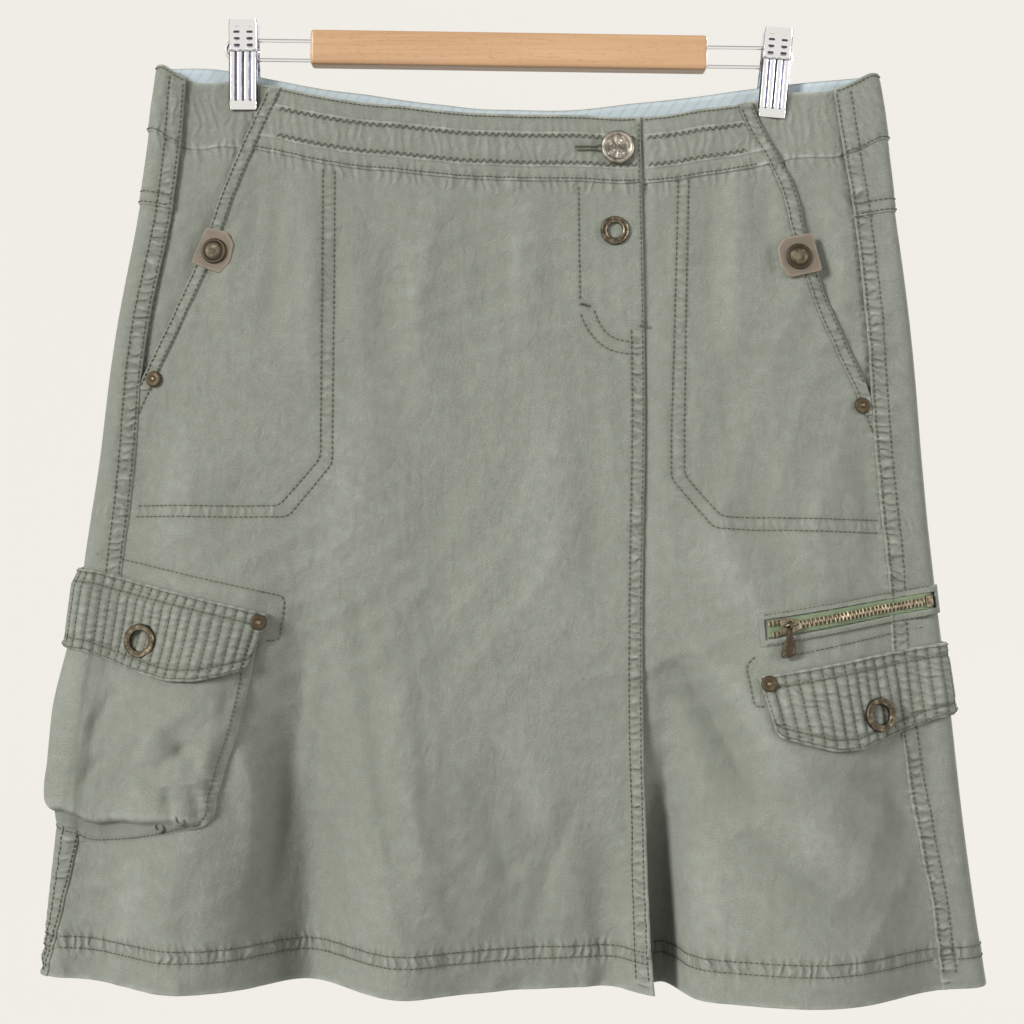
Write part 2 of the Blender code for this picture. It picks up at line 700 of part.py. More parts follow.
def zip_welt():
    """A narrow folded frame round the zip's window."""
    half = ZIP_WINDOW / 2
    corners = [(-0.05, half), (1.02, half - 1), (1.02, -half + 1), (-0.05, -half)]
    loop = []
    for (s0, h0), (s1, h1) in zip(corners, corners[1:] + corners[:1]):
        steps = 14 if abs(s1 - s0) > 0.5 else 2
        for k in range(steps):
            share = k / steps
            loop.append((s0 + (s1 - s0) * share, h0 + (h1 - h0) * share))
    s, h = np.array(loop).T
    rings = []
    for grow, lift in ((0.0, OVER), (0.0, OVER + 1.2), (1.0, OVER + 1.2), (1.0, OVER)):
        wide = s + grow * np.where(s < 0.02, -0.03, np.where(s > 1.0, 0.012, 0))
        tall = h + grow * np.sign(h) * ZIP_WELT * np.where(np.abs(h) > 3, 1, 0)
        x = ZIP_START[0] + (ZIP_END[0] - ZIP_START[0]) * wide
        z_middle = ZIP_START[1] + (ZIP_END[1] - ZIP_START[1]) * wide
        rings.append(lifted(t_of(x, z_middle), z_middle + tall, lift + zip_rise(wide)))
    grid = np.stack(rings, axis=1)
    count = len(loop)
    index = np.arange(count * 4).reshape(count, 4)
    a, b = index, np.roll(index, -1, axis=1)
    faces = np.stack([a, b, np.roll(b, -1, axis=0), np.roll(a, -1, axis=0)], axis=-1)
    place_mesh("zip_welt", grid.reshape(-1, 3), faces.reshape(-1, 4), cloth())


def slider_frame():
    """A frame at the slider: X along the zip, Z off the cloth, at the slider's underside."""
    here, t, z = zip_place(SLIDER_AT, OVER + ZIP_LIFT)
    ahead, _, _ = zip_place(SLIDER_AT + 0.08, OVER + ZIP_LIFT)
    normal = Vector(outward(t, z))
    along = Vector(ahead - here)
    along = (along - normal * along.dot(normal)).normalized()
    rotation = Matrix((along, normal.cross(along), normal)).transposed()
    return Matrix.Translation(Vector(here) * MM) @ rotation.to_4x4()


def zip_slider(look):
    """The slider's body and its bridge, one piece with a way through for the pull's eye."""
    half_l, half_w = SLIDER_LENGTH / 2, SLIDER_WIDTH / 2
    body = [
        (-half_l, half_w), (-half_l, -half_w), (-half_l + 3, -half_w), (half_l, -half_w * 0.62),
        (half_l, half_w * 0.62), (-half_l + 3, half_w),
    ]
    frame = slider_frame()
    slider = prism("zip_slider", body, 0, SLIDER_BASE, look, frame)
    reach, top = half_l - 1.2, SLIDER_BASE + BRIDGE_HEIGHT + BRIDGE_RADIUS
    under = SLIDER_BASE + BRIDGE_HEIGHT - BRIDGE_RADIUS
    arch = [
        (-reach, SLIDER_BASE - 0.6), (-reach, top - 0.8), (-reach + 0.8, top),
        (reach - 0.8, top), (reach, top - 0.8), (reach, SLIDER_BASE - 0.6),
        (reach - 1.4, SLIDER_BASE - 0.6), (reach - 1.4, under), (-reach + 1.4, under),
        (-reach + 1.4, SLIDER_BASE - 0.6),
    ]
    bridge = prism("slider_bridge", arch, -BRIDGE_RADIUS, BRIDGE_RADIUS, look)
    bridge.matrix_world = frame @ Matrix.Rotation(math.pi / 2, 4, "X")
    helper(bridge)
    join = slider.modifiers.new("bridge", "BOOLEAN")
    join.operation = "UNION"
    join.object = bridge


def helper(shape):
    shape.hide_render = True
    shape.display_type = "WIRE"


def zip_pull(look):
    """The pull: an eye round the bridge and a blade that hangs plumb, on the joint's axis."""
    frame = slider_frame()
    pivot = frame @ Vector((-1.0 * MM, 0, (SLIDER_BASE + BRIDGE_HEIGHT) * MM))
    along = (frame.to_3x3() @ Vector((1, 0, 0))).normalized()
    down = Vector((0, 0, -1))
    down = (down - along * down.dot(along)).normalized()
    rotation = Matrix((along, -down, along.cross(-down))).transposed()
    hinge = bpy.data.objects.new("pull_hinge", None)
    bpy.context.scene.collection.objects.link(hinge)
    hinge.matrix_world = Matrix.Translation(pivot) @ rotation.to_4x4()

    inner, outer = PULL_EYE
    side = math.sin(PULL_LEAN) / math.cos(PULL_LEAN)
    top_y = -math.sqrt(outer ** 2 - 0.65 ** 2) + 0.25
    bottom_y = -PULL_LENGTH
    blade = [
        (1.2 + side * top_y, top_y), (-1.2 + side * top_y, top_y),
        (-1.7 + side * -6, -6.0), (-3.4 + side * -10, -10.0),
        (-3.9 + side * (bottom_y + 2), bottom_y + 2.2), (-2.6 + side * bottom_y, bottom_y + 0.3),
        (0.4 + side * bottom_y, bottom_y - 0.4), (3.0 + side * bottom_y, bottom_y + 0.5),
        (3.9 + side * (bottom_y + 2), bottom_y + 2.4), (3.4 + side * -10, -10.0),
        (1.7 + side * -6, -6.0),
    ]
    pull = prism("zip_pull", blade, -0.65, 0.65, look)
    pull.parent = hinge
    eye_turn = Matrix.Rotation(math.pi / 2, 4, "Y")
    eye = turned(
        "pull_eye", [(inner, -1.2), (outer, -1.2), (outer, 1.2), (inner, 1.2)], 16, look,
        hinge.matrix_world @ eye_turn,
    )
    helper(eye)
    join = pull.modifiers.new("eye", "BOOLEAN")
    join.operation = "UNION"
    join.object = eye


def zip_parts():
    brass = metal("antique_brass", BRASS)
    bronze = metal("dark_bronze", BRONZE)
    zip_welt()
    half = ZIP_WINDOW / 2 - 1 - GAP
    green = cloth("zip_tape", TAPE_GREEN)
    zip_strip("zip_tape", -0.03, 1.0, -half, half, OVER, OVER + TAPE_THICKNESS, green)
    length = math.dist(ZIP_START, ZIP_END)
    start = SLIDER_AT + (SLIDER_LENGTH / 2 + 1.0) / length
    low = OVER + ZIP_LIFT
    zip_strip(
        "zip_chain", start, CHAIN_END, -CHAIN_HALF, CHAIN_HALF, low, low + CHAIN_HEIGHT, brass,
    )
    zip_strip("zip_stop", *STOP_SPAN, -STOP_HALF, STOP_HALF, low, low + 0.8, bronze, columns=3)
    zip_slider(bronze)
    zip_pull(bronze)


# ---------------------------------------------------------------- rivets, rings and buttons

RIVET = [(0, 1.9), (1.0, 1.8), (1.5, 1.0), (3.2, 1.3), (4.3, 0.9), (4.5, 0), (0, 0)]
CAP = [(0, 3.2), (3.0, 2.9), (5.4, 1.8), (6.6, 0.6), (6.6, 0), (0, 0)]
BUTTON = [(0, 2.2), (6.6, 2.0), (7.2, 2.9), (8.6, 2.9), (9.3, 1.8), (9.0, 0.6), (6.0, 0), (0, 0)]


def ring(inner, outer, height=2.2):
    wide = outer - inner
    return [
        (inner, 0), (inner, height * 0.55), (inner + wide * 0.3, height),
        (outer - wide * 0.3, height), (outer, height * 0.5), (outer, 0),
    ]


def over_left_flap(spot):
    return float(flap_left_lift(t_of(*spot), spot.z)) + FLAP_THICKNESS + 1.5


def trims():
    brass = metal("antique_brass", BRASS)
    bronze = metal("dark_bronze", BRONZE)
    silver = metal("antique_silver", SILVER, 0.4)
    for name, spot in RIVETS.items():
        lift = OVER + TRIM_LIFT
        if name == "rivet_flap_left":
            lift = over_left_flap(spot)
        elif name == "rivet_flap_right":
            lift = OVER + FLAP_THICKNESS + TRIM_LIFT
        turned(name, RIVET, 14, brass, frame_at(spot.x, spot.z, lift))
    leather = material("leather", LEATHER, 0.6)
    for side, (spot, turn) in LEATHER_TABS.items():
        place = frame_at(spot.x, spot.z, OVER + TRIM_LIFT, turn)
        (half_w, half_h), corner = LEATHER_HALF, LEATHER_CORNER
        outline = [
            (-half_w, half_h), (-half_w, -half_h + corner), (-half_w + corner, -half_h),
            (half_w - corner, -half_h), (half_w, -half_h + corner), (half_w, half_h),
        ]
        prism("leather_tab_" + side, outline, 0, LEATHER_THICKNESS, leather, place)
        on_leather = frame_at(spot.x, spot.z, OVER + TRIM_LIFT + LEATHER_THICKNESS + GAP, turn)
        turned("snap_cap_" + side, CAP, 18, bronze, on_leather)
    turned("waist_button", BUTTON, 22, silver, frame_at(*WAIST_BUTTON, OVER + 1.0))
    turned("ring_fly", ring(4.2, 8.0, 1.8), 20, bronze, frame_at(*FLY_RING, WALL + 0.4))
    left, right = FLAP_RINGS["ring_flap_left"], FLAP_RINGS["ring_flap_right"]
    turned("ring_flap_left", ring(5.6, 9.4), 20, bronze, frame_at(*left, over_left_flap(left)))
    over_right_flap = OVER + FLAP_THICKNESS + 1.6
    turned("ring_flap_right", ring(5.6, 9.4), 20, bronze, frame_at(*right, over_right_flap))
    for name, spot in EYELETS.items():
        lift = float(bag_lift(*bag_share(t_of(spot.x, spot.z), spot.z))) + WALL + 0.9
        turned(name, ring(1.2, 2.5, 0.8), 12, material("eyelet", SAGE_DARK, 0.6),
               frame_at(*spot, lift))


# ---------------------------------------------------------------- the hanger

def hanger_bar(parent):
    length, depth, height = BAR
    half_l = length / 2
    mesh = bpy.data.meshes.new("hanger_bar")
    shape = bmesh.new()
    bmesh.ops.create_cube(shape, size=1.0)
    bmesh.ops.scale(shape, vec=(length * MM, depth * MM, height * MM), verts=shape.verts)
    bmesh.ops.translate(shape, vec=(0, 0, -height / 2 * MM), verts=shape.verts)
    shape.to_mesh(mesh)
    shape.free()
    mesh.materials.append(material("beech", BEECH, 0.5))
    bar = bpy.data.objects.new("hanger_bar", mesh)
    bpy.context.scene.collection.objects.link(bar)
    bar.parent = parent
    soften = bar.modifiers.new("edges", "BEVEL")
    soften.width = 1.6 * MM
    soften.segments = 2
    soften.limit_method = "ANGLE"
    for x in (-half_l, half_l):
        for z in WIRE_HEIGHTS:
            socket(bar, parent, (x, 0, z), (0, math.pi / 2, 0), WIRE_RADIUS + GAP, 24.0)
    socket(bar, parent, (0, 0, 0), (0, 0, 0), HOOK_RADIUS, 24.0)


def socket(bar, parent, at, turn, radius, length):
    """A round hole in the bar, half of length deep, drilled at a point of its surface."""
    shape = bmesh.new()
    bmesh.ops.create_cone(
        shape, cap_ends=True, segments=12, radius1=radius * MM, radius2=radius * MM,
        depth=length * MM,
    )
    mesh = bpy.data.meshes.new("drill")
    shape.to_mesh(mesh)
    shape.free()
    drill = bpy.data.objects.new("drill", mesh)
    bpy.context.scene.collection.objects.link(drill)
    drill.parent = parent
    drill.location = Vector(at) * MM
    drill.rotation_euler = turn
    helper(drill)
    cut = bar.modifiers.new("hole", "BOOLEAN")
    cut.operation = "DIFFERENCE"
    cut.object = drill


def hanger_wire(side, sign, parent):
    """One wire, out of the bar, round a bend past the clip, and back into the bar."""
    high, low = WIRE_HEIGHTS
    middle, radius = (high + low) / 2, (high - low) / 2
    start = BAR[0] / 2 - 11.0
    bend_at = WIRE_REACH - radius
    points = [(start, high), (BAR[0] / 2 + 2, high), (bend_at - 12, high)]
    for k in range(9):
        angle = math.pi / 2 - math.pi * k / 8
        points.append((bend_at + radius * math.cos(angle), middle + radius * math.sin(angle)))
    points += [(bend_at - 12, low), (BAR[0] / 2 + 2, low), (start, low)]
    curve = bpy.data.curves.new("hanger_wire_" + side, "CURVE")
    curve.dimensions = "3D"
    curve.bevel_depth = WIRE_RADIUS * MM
    curve.bevel_resolution = 1
    curve.use_fill_caps = True
    line = curve.splines.new("POLY")
    line.points.add(len(points) - 1)
    for place, (x, z) in zip(line.points, points):
        place.co = (sign * x * MM, 0, z * MM, 1)
    curve.materials.append(metal("chrome", CHROME, 0.15))
    wire = bpy.data.objects.new("hanger_wire_" + side, curve)
    bpy.context.scene.collection.objects.link(wire)
    wire.parent = parent


def clip(side, parent):
    """A spring barrel between the wires, and a front and a rear jaw on it."""
    chrome = metal("chrome", CHROME, 0.15)
    middle_x = CLIP_MIDDLES[side]
    hub = bpy.data.objects.new("clip_hub_" + side, None)
    bpy.context.scene.collection.objects.link(hub)
    hub.parent = parent
    hub.location = (middle_x * MM, 0, sum(WIRE_HEIGHTS) / 2 * MM)
    bpy.context.view_layer.update()
    turn = Matrix.Rotation(math.pi / 2, 4, "Y")
    half = PLATE_WIDTH / 2
    end = half - 3.6
    barrel = [(0, end), (BARREL_RADIUS, end), (BARREL_RADIUS, -end), (0, -end)]
    turned("clip_barrel_" + side, barrel, 12, chrome, hub.matrix_world @ turn)
    tilt = Matrix.Rotation(CLIP_TILTS[side] - BAR_TILT, 4, "Y")
    top = PLATE_ABOVE
    bottom = PLATE_ABOVE - PLATE_LENGTH
    lip = bottom + LIP_LENGTH
    for face, sign, grip in (("front", -1, 4.8), ("rear", 1, 6.7)):
        rest = BARREL_RADIUS + GAP
        heights = (top, 4.5, -4.5, -11.0, lip, bottom)
        inner = (rest + 2.2, rest, rest, grip, grip, grip)
        profile = [(sign * y, z) for y, z in zip(inner, heights)]
        outer = [(sign * (y + PLATE), z) for y, z in zip(inner, heights)]
        outline = profile + outer[::-1]
        points = [(-half, y, z) for y, z in outline] + [(half, y, z) for y, z in outline]
        count = len(outline)
        sides = [(i, (i + 1) % count, (i + 1) % count + count, i + count) for i in range(count)]
        ends = []
        for k in range(len(heights) - 1):
            quad = (k, k + 1, count - 2 - k, count - 1 - k)
            ends += [quad, tuple(i + count for i in reversed(quad))]
        jaw = place_mesh("clip_" + face + "_" + side, points, ends + sides, chrome)
        jaw.matrix_world = hub.matrix_world @ tilt


def hanger():
    frame = bpy.data.objects.new("hanger_frame", None)
    bpy.context.scene.collection.objects.link(frame)
    frame.rotation_euler = (0, BAR_TILT, 0)
    bpy.context.view_layer.update()
    hanger_bar(frame)
    for side, sign in (("left", -1), ("right", 1)):
        hanger_wire(side, sign, frame)
        clip(side, frame)


# ---------------------------------------------------------------- the whole

def clear_scene():
    for old in list(bpy.data.objects):
        bpy.data.objects.remove(old, do_unlink=True)


def main():
    clear_scene()
    front_panels()
    pocket_backs()
    back_pieces()
    waist_facing()
    front_waistband()
    slant_strips()
    waist_tapes()
    cargo_bag()
    flaps()
    zip_parts()
    trims()
    hanger()


main()
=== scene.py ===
"""Looks of the cargo utility skirt on its clip hanger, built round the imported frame.

Tables and lifts are in millimetres; meshes are made in metres. The cloth follows one flattened
tube. A place on it is (t, z): t runs from -1 at the left side over the front to +1 at the right
side and on over the back to +3. Each cloth piece is a stretch of the tube between two lifts.
"""

import json
import logging
import math
from dataclasses import dataclass
from enum import Enum
from typing import Any, Callable, Sequence

import bpy
import numpy as np
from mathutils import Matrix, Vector

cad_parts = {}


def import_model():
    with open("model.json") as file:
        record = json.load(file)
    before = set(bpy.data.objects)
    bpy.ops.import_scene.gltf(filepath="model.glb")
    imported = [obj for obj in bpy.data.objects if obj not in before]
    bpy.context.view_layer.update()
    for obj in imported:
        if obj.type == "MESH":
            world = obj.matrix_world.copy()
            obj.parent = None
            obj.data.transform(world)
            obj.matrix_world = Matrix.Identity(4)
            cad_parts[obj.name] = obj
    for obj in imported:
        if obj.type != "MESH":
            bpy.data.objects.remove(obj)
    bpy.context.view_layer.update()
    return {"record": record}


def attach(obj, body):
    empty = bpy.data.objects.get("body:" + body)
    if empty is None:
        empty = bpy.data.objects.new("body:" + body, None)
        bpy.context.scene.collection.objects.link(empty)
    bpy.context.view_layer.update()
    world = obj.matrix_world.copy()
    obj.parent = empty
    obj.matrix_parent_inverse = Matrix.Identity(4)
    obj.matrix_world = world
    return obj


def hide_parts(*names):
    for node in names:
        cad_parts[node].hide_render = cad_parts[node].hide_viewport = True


LOG = logging.getLogger("skirt")
MM = 0.001
TAU = 2 * math.pi
Array = np.ndarray
Table = Sequence[tuple[float, float]]


class Body(Enum):
    """The bodies that pieces ride on."""

    SKIRT = "skirt"
    PULL = "pull"


# ---------------------------------------------------------------- numbers along a table

def smooth(table: Table, x: Any) -> Array:
    """A cubic through a table's rows, level outside them.

    Each pair of rows is joined by blending the two rows' tangent lines with 3s^2 - 2s^3.

    Args:
        table: Rows of (place, value), places rising.
        x: Places to read.

    Returns:
        The values there.
    """
    at, values = np.array(table, float).T
    slopes = np.gradient(values, at)
    x = np.clip(np.asarray(x, float), at[0], at[-1])
    row = np.clip(np.searchsorted(at, x) - 1, 0, len(at) - 2)
    step = at[row + 1] - at[row]
    s = (x - at[row]) / step
    low = values[row] + s * step * slopes[row]
    high = values[row + 1] + (s - 1) * step * slopes[row + 1]
    blend = s * s * (3 - 2 * s)
    return low * (1 - blend) + high * blend


def ramp(x: Any) -> Array:
    """0 up to x = 0, 1 from x = 1, and 3x^2 - 2x^3 between."""
    x = np.clip(x, 0, 1)
    return x * x * (3 - 2 * x)


def bell(x: Any, width: float) -> Array:
    """exp(-(x / width)^2)."""
    return np.exp(-((np.asarray(x) / width) ** 2))


def ripple(s: Any, pitch: float, seed: float) -> Array:
    """A wave of -1 to 1 along s whose pitch and height wander a little.

    Args:
        s: Distance along the seam.
        pitch: Usual length of a wave.
        seed: Shifts the pattern.

    Returns:
        The wave's height.
    """
    phase = s / pitch + 0.8 * np.sin(s / (pitch * 1.9) + seed) + 0.7 * np.sin(s / 23.0 + 2 * seed)
    height = 0.5 + 0.3 * np.sin(s / (pitch * 1.3) + 3.7 * seed) + 0.2 * np.sin(s / 11.0 + seed)
    return np.sin(TAU * phase) * height


# ---------------------------------------------------------------- the cloth's form

@dataclass(frozen=True)
class Fold:
    """A fold that grows from nothing at start to its full depth at the hem; + stands out."""

    start: float
    x_start: float
    x_hem: float
    width: float
    depth: float

    def depth_at(self, x: Array, z: Array) -> Array:
        """Depth times its growth times a bell across its middle line."""
        grown = ramp((self.start - z) / (self.start - Form.HEM))
        middle = self.x_start + (self.x_hem - self.x_start) * grown
        return self.depth * grown * bell(x - middle, self.width)


@dataclass(frozen=True)
class Crease:
    """A soft trough (-) or ridge (+) along a bowed line on the front or back."""

    x0: float
    z0: float
    x1: float
    z1: float
    width: float
    depth: float
    bow: float = 0.0
    skew: float = 0.0

    def lift_at(self, x: Array, z: Array) -> Array:
        """Its depth times a bell across the line, tapered to nothing at both ends.

        The line is a chord bowed by a parabola; skew makes one flank steeper than the other.
        """
        dx, dz = self.x1 - self.x0, self.z1 - self.z0
        length = math.hypot(dx, dz)
        s = ((x - self.x0) * dx + (z - self.z0) * dz) / length ** 2
        off = ((x - self.x0) * dz - (z - self.z0) * dx) / length
        off = off - self.bow * 4 * s * (1 - s)
        inside = np.clip(s, 0, 1)
        taper = np.sin(inside * math.pi) ** 0.7 * (np.abs(s - 0.5) <= 0.5)
        width = self.width * (1 + self.skew * np.sign(off))
        return self.depth * taper * np.exp(-((off / width) ** 2))


class Form:
    """The flattened tube that all the cloth follows, with its folds, creases and seam edges."""

    WALL = 1.2
    BAND = 37.5
    HEM = -528.0
    HEM_SLOPE = -0.012
    CAP_RISE = 45.0
    LEFT = [(-545, -262), (-450, -252), (-380, -246), (-300, -237), (-240, -228), (-170, -219),
            (-100, -206), (-60, -200), (-15, -194)]
    RIGHT = [(-545, 268), (-450, 254), (-380, 246), (-300, 236), (-240, 230), (-170, 224),
             (-100, 215), (-60, 210), (-15, 203)]
    FRONT = [(-545, 41), (-450, 37), (-380, 33), (-300, 27), (-240, 22), (-170, 17), (-100, 12),
             (-60, 9), (-15, 7)]
    BACK = [(-545, 42), (-450, 37), (-380, 32), (-300, 26), (-240, 22), (-170, 17), (-100, 12),
            (-60, 10), (-15, 8)]
    CAP = [(-545, 13), (-450, 11.5), (-380, 10.5), (-300, 9), (-240, 8), (-170, 7), (-100, 5.5),
           (-60, 4.5), (-15, 3.6)]
    FRONT_FOLDS = (
        Fold(-250, -180, -187, 30, 14), Fold(-230, -112, -112, 27, -33),
        Fold(-260, -92, -57, 22, 14), Fold(-300, 0, 20, 34, -16), Fold(-330, 50, 56, 20, -19),
        Fold(-240, 150, 165, 62, 22),
    )
    COVERED = ((-302.0, -446.0), (-344.0, -402.0))
    SLIT = Fold(-330, 84, 86, 11, -36)
    BACK_FOLDS = (
        Fold(-230, -150, -165, 38, 15), Fold(-260, -86, -92, 28, -20), Fold(-250, -15, -8, 36, 14),
        Fold(-280, 70, 78, 30, -22), Fold(-240, 160, 172, 40, 14),
    )
    FRONT_TOP = [(-195, -18), (-180, -26), (-156, -26.5), (-137, -29), (-105, -36), (-57, -42),
                 (0, -46.5), (38, -47), (72, -48), (106, -43.5), (139, -37.8), (158, -33),
                 (180, -32), (204, -22.7)]
    BACK_TOP = [(-195, -18), (-158, -19.8), (-140, -23), (-77, -32), (-39, -37), (4, -40),
                (74, -36), (108, -32.5), (140, -29), (204, -22.7)]
    YOKE = [(-206, -96), (0, -128), (216, -100)]
    SLANT_LEFT = [(-230, -221), (-188, -201), (-131, -175), (-110, -167), (-67, -150),
                  (-31, -134), (-20, -129)]
    SLANT_RIGHT = [(-245, 218), (-202, 200), (-136, 172), (-113, 165), (-72, 151), (-60, 144),
                   (-39, 134.7), (-25, 129)]
    LAP_LEFT = [(-545, -260), (-489, -247), (-448, -238), (-370, -224), (-292, -213),
                (-235, -207), (-170, -201), (-98, -187), (-26, -180)]
    LAP_RIGHT = [(-545, 239), (-502, 235), (-433, 223), (-392, 216), (-292, 208.6),
                 (-232, 202.6), (-136, 195.7), (-60, 185), (-33, 181)]
    FLY = [(-545, 80), (-500, 77), (-430, 74), (-200, 75), (-40, 73)]
    CLIPS = (-148.0, 149.5)
    PINCH_SIZE = 32.0
    PINCH_LEVEL = -36.0
    PINCH_FRONT = 3.2
    PINCH_BACK = 3.8
    RUMPLES = ((17, 0.25, 1.25, 0.3), (13, -0.42, 1.0, 1.7), (10, 0.85, 0.75, 2.9),
               (8, -1.15, 0.65, 4.1), (6, 0.1, 0.42, 5.3))

    def __init__(self, front: Sequence[Crease], back: Sequence[Crease]) -> None:
        """Keep the creases of both faces."""
        self.front_creases = front
        self.back_creases = back

    @staticmethod
    def wrapped(t: Any) -> Array:
        """t brought to -1 to 3."""
        return np.mod(np.asarray(t, float) + 1, 4) - 1

    def tube(self, t: Any, z: Any, slit: bool = False) -> Array:
        """Points of the smooth tube, in mm.

        x is the middle plus half the width times sin(t pi/2). Each side is a round cap of the
        level's radius, from which the faces rise by 1 - exp(-(distance / 45)^2) to their depth,
        with the folds added and the clips' pinch taken off.

        Args:
            t: Places round the tube.
            z: Heights.
            slit: Sink away beside the lap's free edge too, as the under front does.

        Returns:
            Points with a last axis of three.
        """
        t, z = np.broadcast_arrays(self.wrapped(t), np.asarray(z, float))
        left, right = smooth(self.LEFT, z), smooth(self.RIGHT, z)
        half = (right - left) / 2
        across = np.sin(t * math.pi / 2)
        x = (left + right) / 2 + half * across
        from_side = half * (1 - np.abs(across))
        cap = smooth(self.CAP, z)
        inside = np.clip(from_side / cap, 0, 1)
        rise = 1 - np.exp(-((np.maximum(from_side - cap, 0) / self.CAP_RISE) ** 2))
        folds = self.FRONT_FOLDS + ((self.SLIT,) if slit else ())
        front_folds = sum(fold.depth_at(x, z) for fold in folds)
        back_folds = sum(fold.depth_at(x, z) for fold in self.BACK_FOLDS)
        front = cap + (smooth(self.FRONT, z) - cap + front_folds) * rise
        back = cap + (smooth(self.BACK, z) - cap + back_folds) * rise
        pinch = sum(np.exp(-(((x - middle) / self.PINCH_SIZE) ** 4)) for middle in self.CLIPS)
        pinch = pinch * np.exp(-(((z - self.PINCH_LEVEL) / self.PINCH_SIZE) ** 4))
        depth = np.sqrt(inside * (2 - inside))
        y = np.where(t <= 1, -(front - self.PINCH_FRONT * pinch), back - self.PINCH_BACK * pinch)
        return np.stack([x, y * depth, z], axis=-1)

    def x_at(self, t: Any, z: Any) -> Array:
        """x of the smooth tube."""
        return self.tube(t, z)[..., 0]

    def outward(self, t: Any, z: Any, slit: bool = False) -> Array:
        """The smooth tube's normal, from points close by."""
        t, z = np.asarray(t, float), np.asarray(z, float)
        along = self.tube(t + 1e-3, z, slit) - self.tube(t - 1e-3, z, slit)
        up = self.tube(t, z + 0.5, slit) - self.tube(t, z - 0.5, slit)
        normal = np.cross(along, up)
        return normal / np.linalg.norm(normal, axis=-1, keepdims=True)

    def relief(self, t: Any, z: Any) -> Array:
        """How far creases and seam puckers stand off the smooth tube, in mm."""
        t, z = np.broadcast_arrays(self.wrapped(t), np.asarray(z, float))
        x, on_front = self.x_at(t, z), t <= 1
        total = np.zeros(t.shape)
        for creases, here in ((self.front_creases, on_front), (self.back_creases, ~on_front)):
            if here.any():
                lift = sum((crease.lift_at(x[here], z[here]) for crease in creases), 0.0)
                total[here] = total[here] + lift
        side = ramp((1 - np.abs(np.sin(t * math.pi / 2))) * 230 / 9)
        small = self.rumple(np.where(on_front, x, x + 640), z) * (0.45 + 0.55 * ramp((-70 - z) / 60))
        return (total * 1.6 + small) * side + self.pucker(t, z)

    def rumple(self, x: Array, z: Array) -> Array:
        """Small creases between the listed ones, in mm.

        Each set is a run of soft hills with sharp valleys, 0.6 - |sin|, across a leaning
        direction, bent by slow sines and shown in patches.
        """
        total = 0.0
        for width, lean, high, seed in self.RUMPLES:
            u = x * math.cos(lean) + z * math.sin(lean)
            v = z * math.cos(lean) - x * math.sin(lean)
            bend = 1.3 * np.sin(v / 61 + seed) + 0.7 * np.sin(u / 67 + 2 * seed + np.sin(v / 31))
            patch = np.clip(0.25 + np.sin(u / 43 + 1.3 * seed) * np.sin(v / 57 + 2.1 * seed), 0, 1)
            total = total + high * patch * (0.6 - np.abs(np.sin(u / width * math.pi / 2 + bend)))
        return total

    def seams(self, t: Any, z: Any) -> tuple[Array, Array]:
        """How strongly a seam gathers the cloth there, 0 to 1.

        Each seam is a bell across its line, left out where a flap or the bag covers it.

        Args:
            t: Places round the tube.
            z: Heights.

        Returns:
            The gather of the seams that run down, and of those that run across.
        """
        t, x = self.wrapped(t), self.x_at(t, z)
        front = t <= 1
        down = ramp((-158 - z) / 20) * bell(smooth(self.FLY, z) - x - 3.8, 3.0)
        for lap, side, (top, bottom) in zip((self.LAP_LEFT, self.LAP_RIGHT), (-1, 1), self.COVERED):
            seen = 1 - ramp((top - z) / 6) * ramp((z - bottom) / 6)
            out = (x - smooth(lap, z)) * side
            down = down + bell(out - 4.5, 4.6) * (0.25 + 0.75 * ramp((-66 - z) / 30)) * seen
        for mouth, side, end in ((self.SLANT_LEFT, 1, -200), (self.SLANT_RIGHT, -1, -214)):
            off = (x - smooth(mouth, z)) * side
            down = down + 0.6 * bell(off - 4.2, 3.6) * ramp((z - end) / 12)
        above = z - self.hem_line(x)
        across = 0.9 * bell(above - 20.5, 5.0)
        seam = z - self.band_seam(t)
        across = across + bell(seam - 1.5, 2.5) * 0.5 + bell(seam + 3, 3) * 0.45
        across = across + 0.35 * bell(seam - 19, 13)
        across = across + np.where(front, 0, bell(z - self.yoke_line(t) - 2, 4.5) * 0.8)
        for x_down, z_across, side in ((-100.0, -267.0, -1), (95.0, -275.0, 1)):
            level = ramp((z - z_across) / 24) * ramp((-78 - z) / 10)
            down = down + 0.4 * bell(x - x_down, 3.6) * level
            outside = ramp((side * (x - x_down) - 18) / 8) * front
            across = across + 0.4 * bell(z - z_across, 3.4) * outside
        return np.where(front, down, 0), across

    def pucker(self, t: Any, z: Any) -> Array:
        """The seams' puckers, -1 to 1: ripples along each seam, in its band."""
        x = self.x_at(t, z)
        down, across = self.seams(t, z)
        return ripple(z + 0.12 * x, 8.6, 0.4) * down + ripple(x + 0.1 * z, 10.5, 2.6) * across

    def place(self, t: Any, z: Any, lift: Any, slit: bool = False) -> Array:
        """Points at a lift off the tube, creases and puckers included."""
        t, z, lift = np.broadcast_arrays(np.asarray(t, float), z, lift)
        off = (lift + self.relief(t, z))[..., None]
        return self.tube(t, z, slit) + self.outward(t, z, slit) * off

    def t_of(self, x: Any, z: Any) -> Array:
        """The place on the front whose x is given."""
        left, right = smooth(self.LEFT, z), smooth(self.RIGHT, z)
        across = (np.asarray(x, float) - (left + right) / 2) / ((right - left) / 2)
        return np.arcsin(np.clip(across, -1, 1)) * 2 / math.pi

    def waist_line(self, t: Any) -> Array:
        """Height of the waist edge."""
        x = self.x_at(t, -40.0)
        return np.where(self.wrapped(t) <= 1, smooth(self.FRONT_TOP, x), smooth(self.BACK_TOP, x))

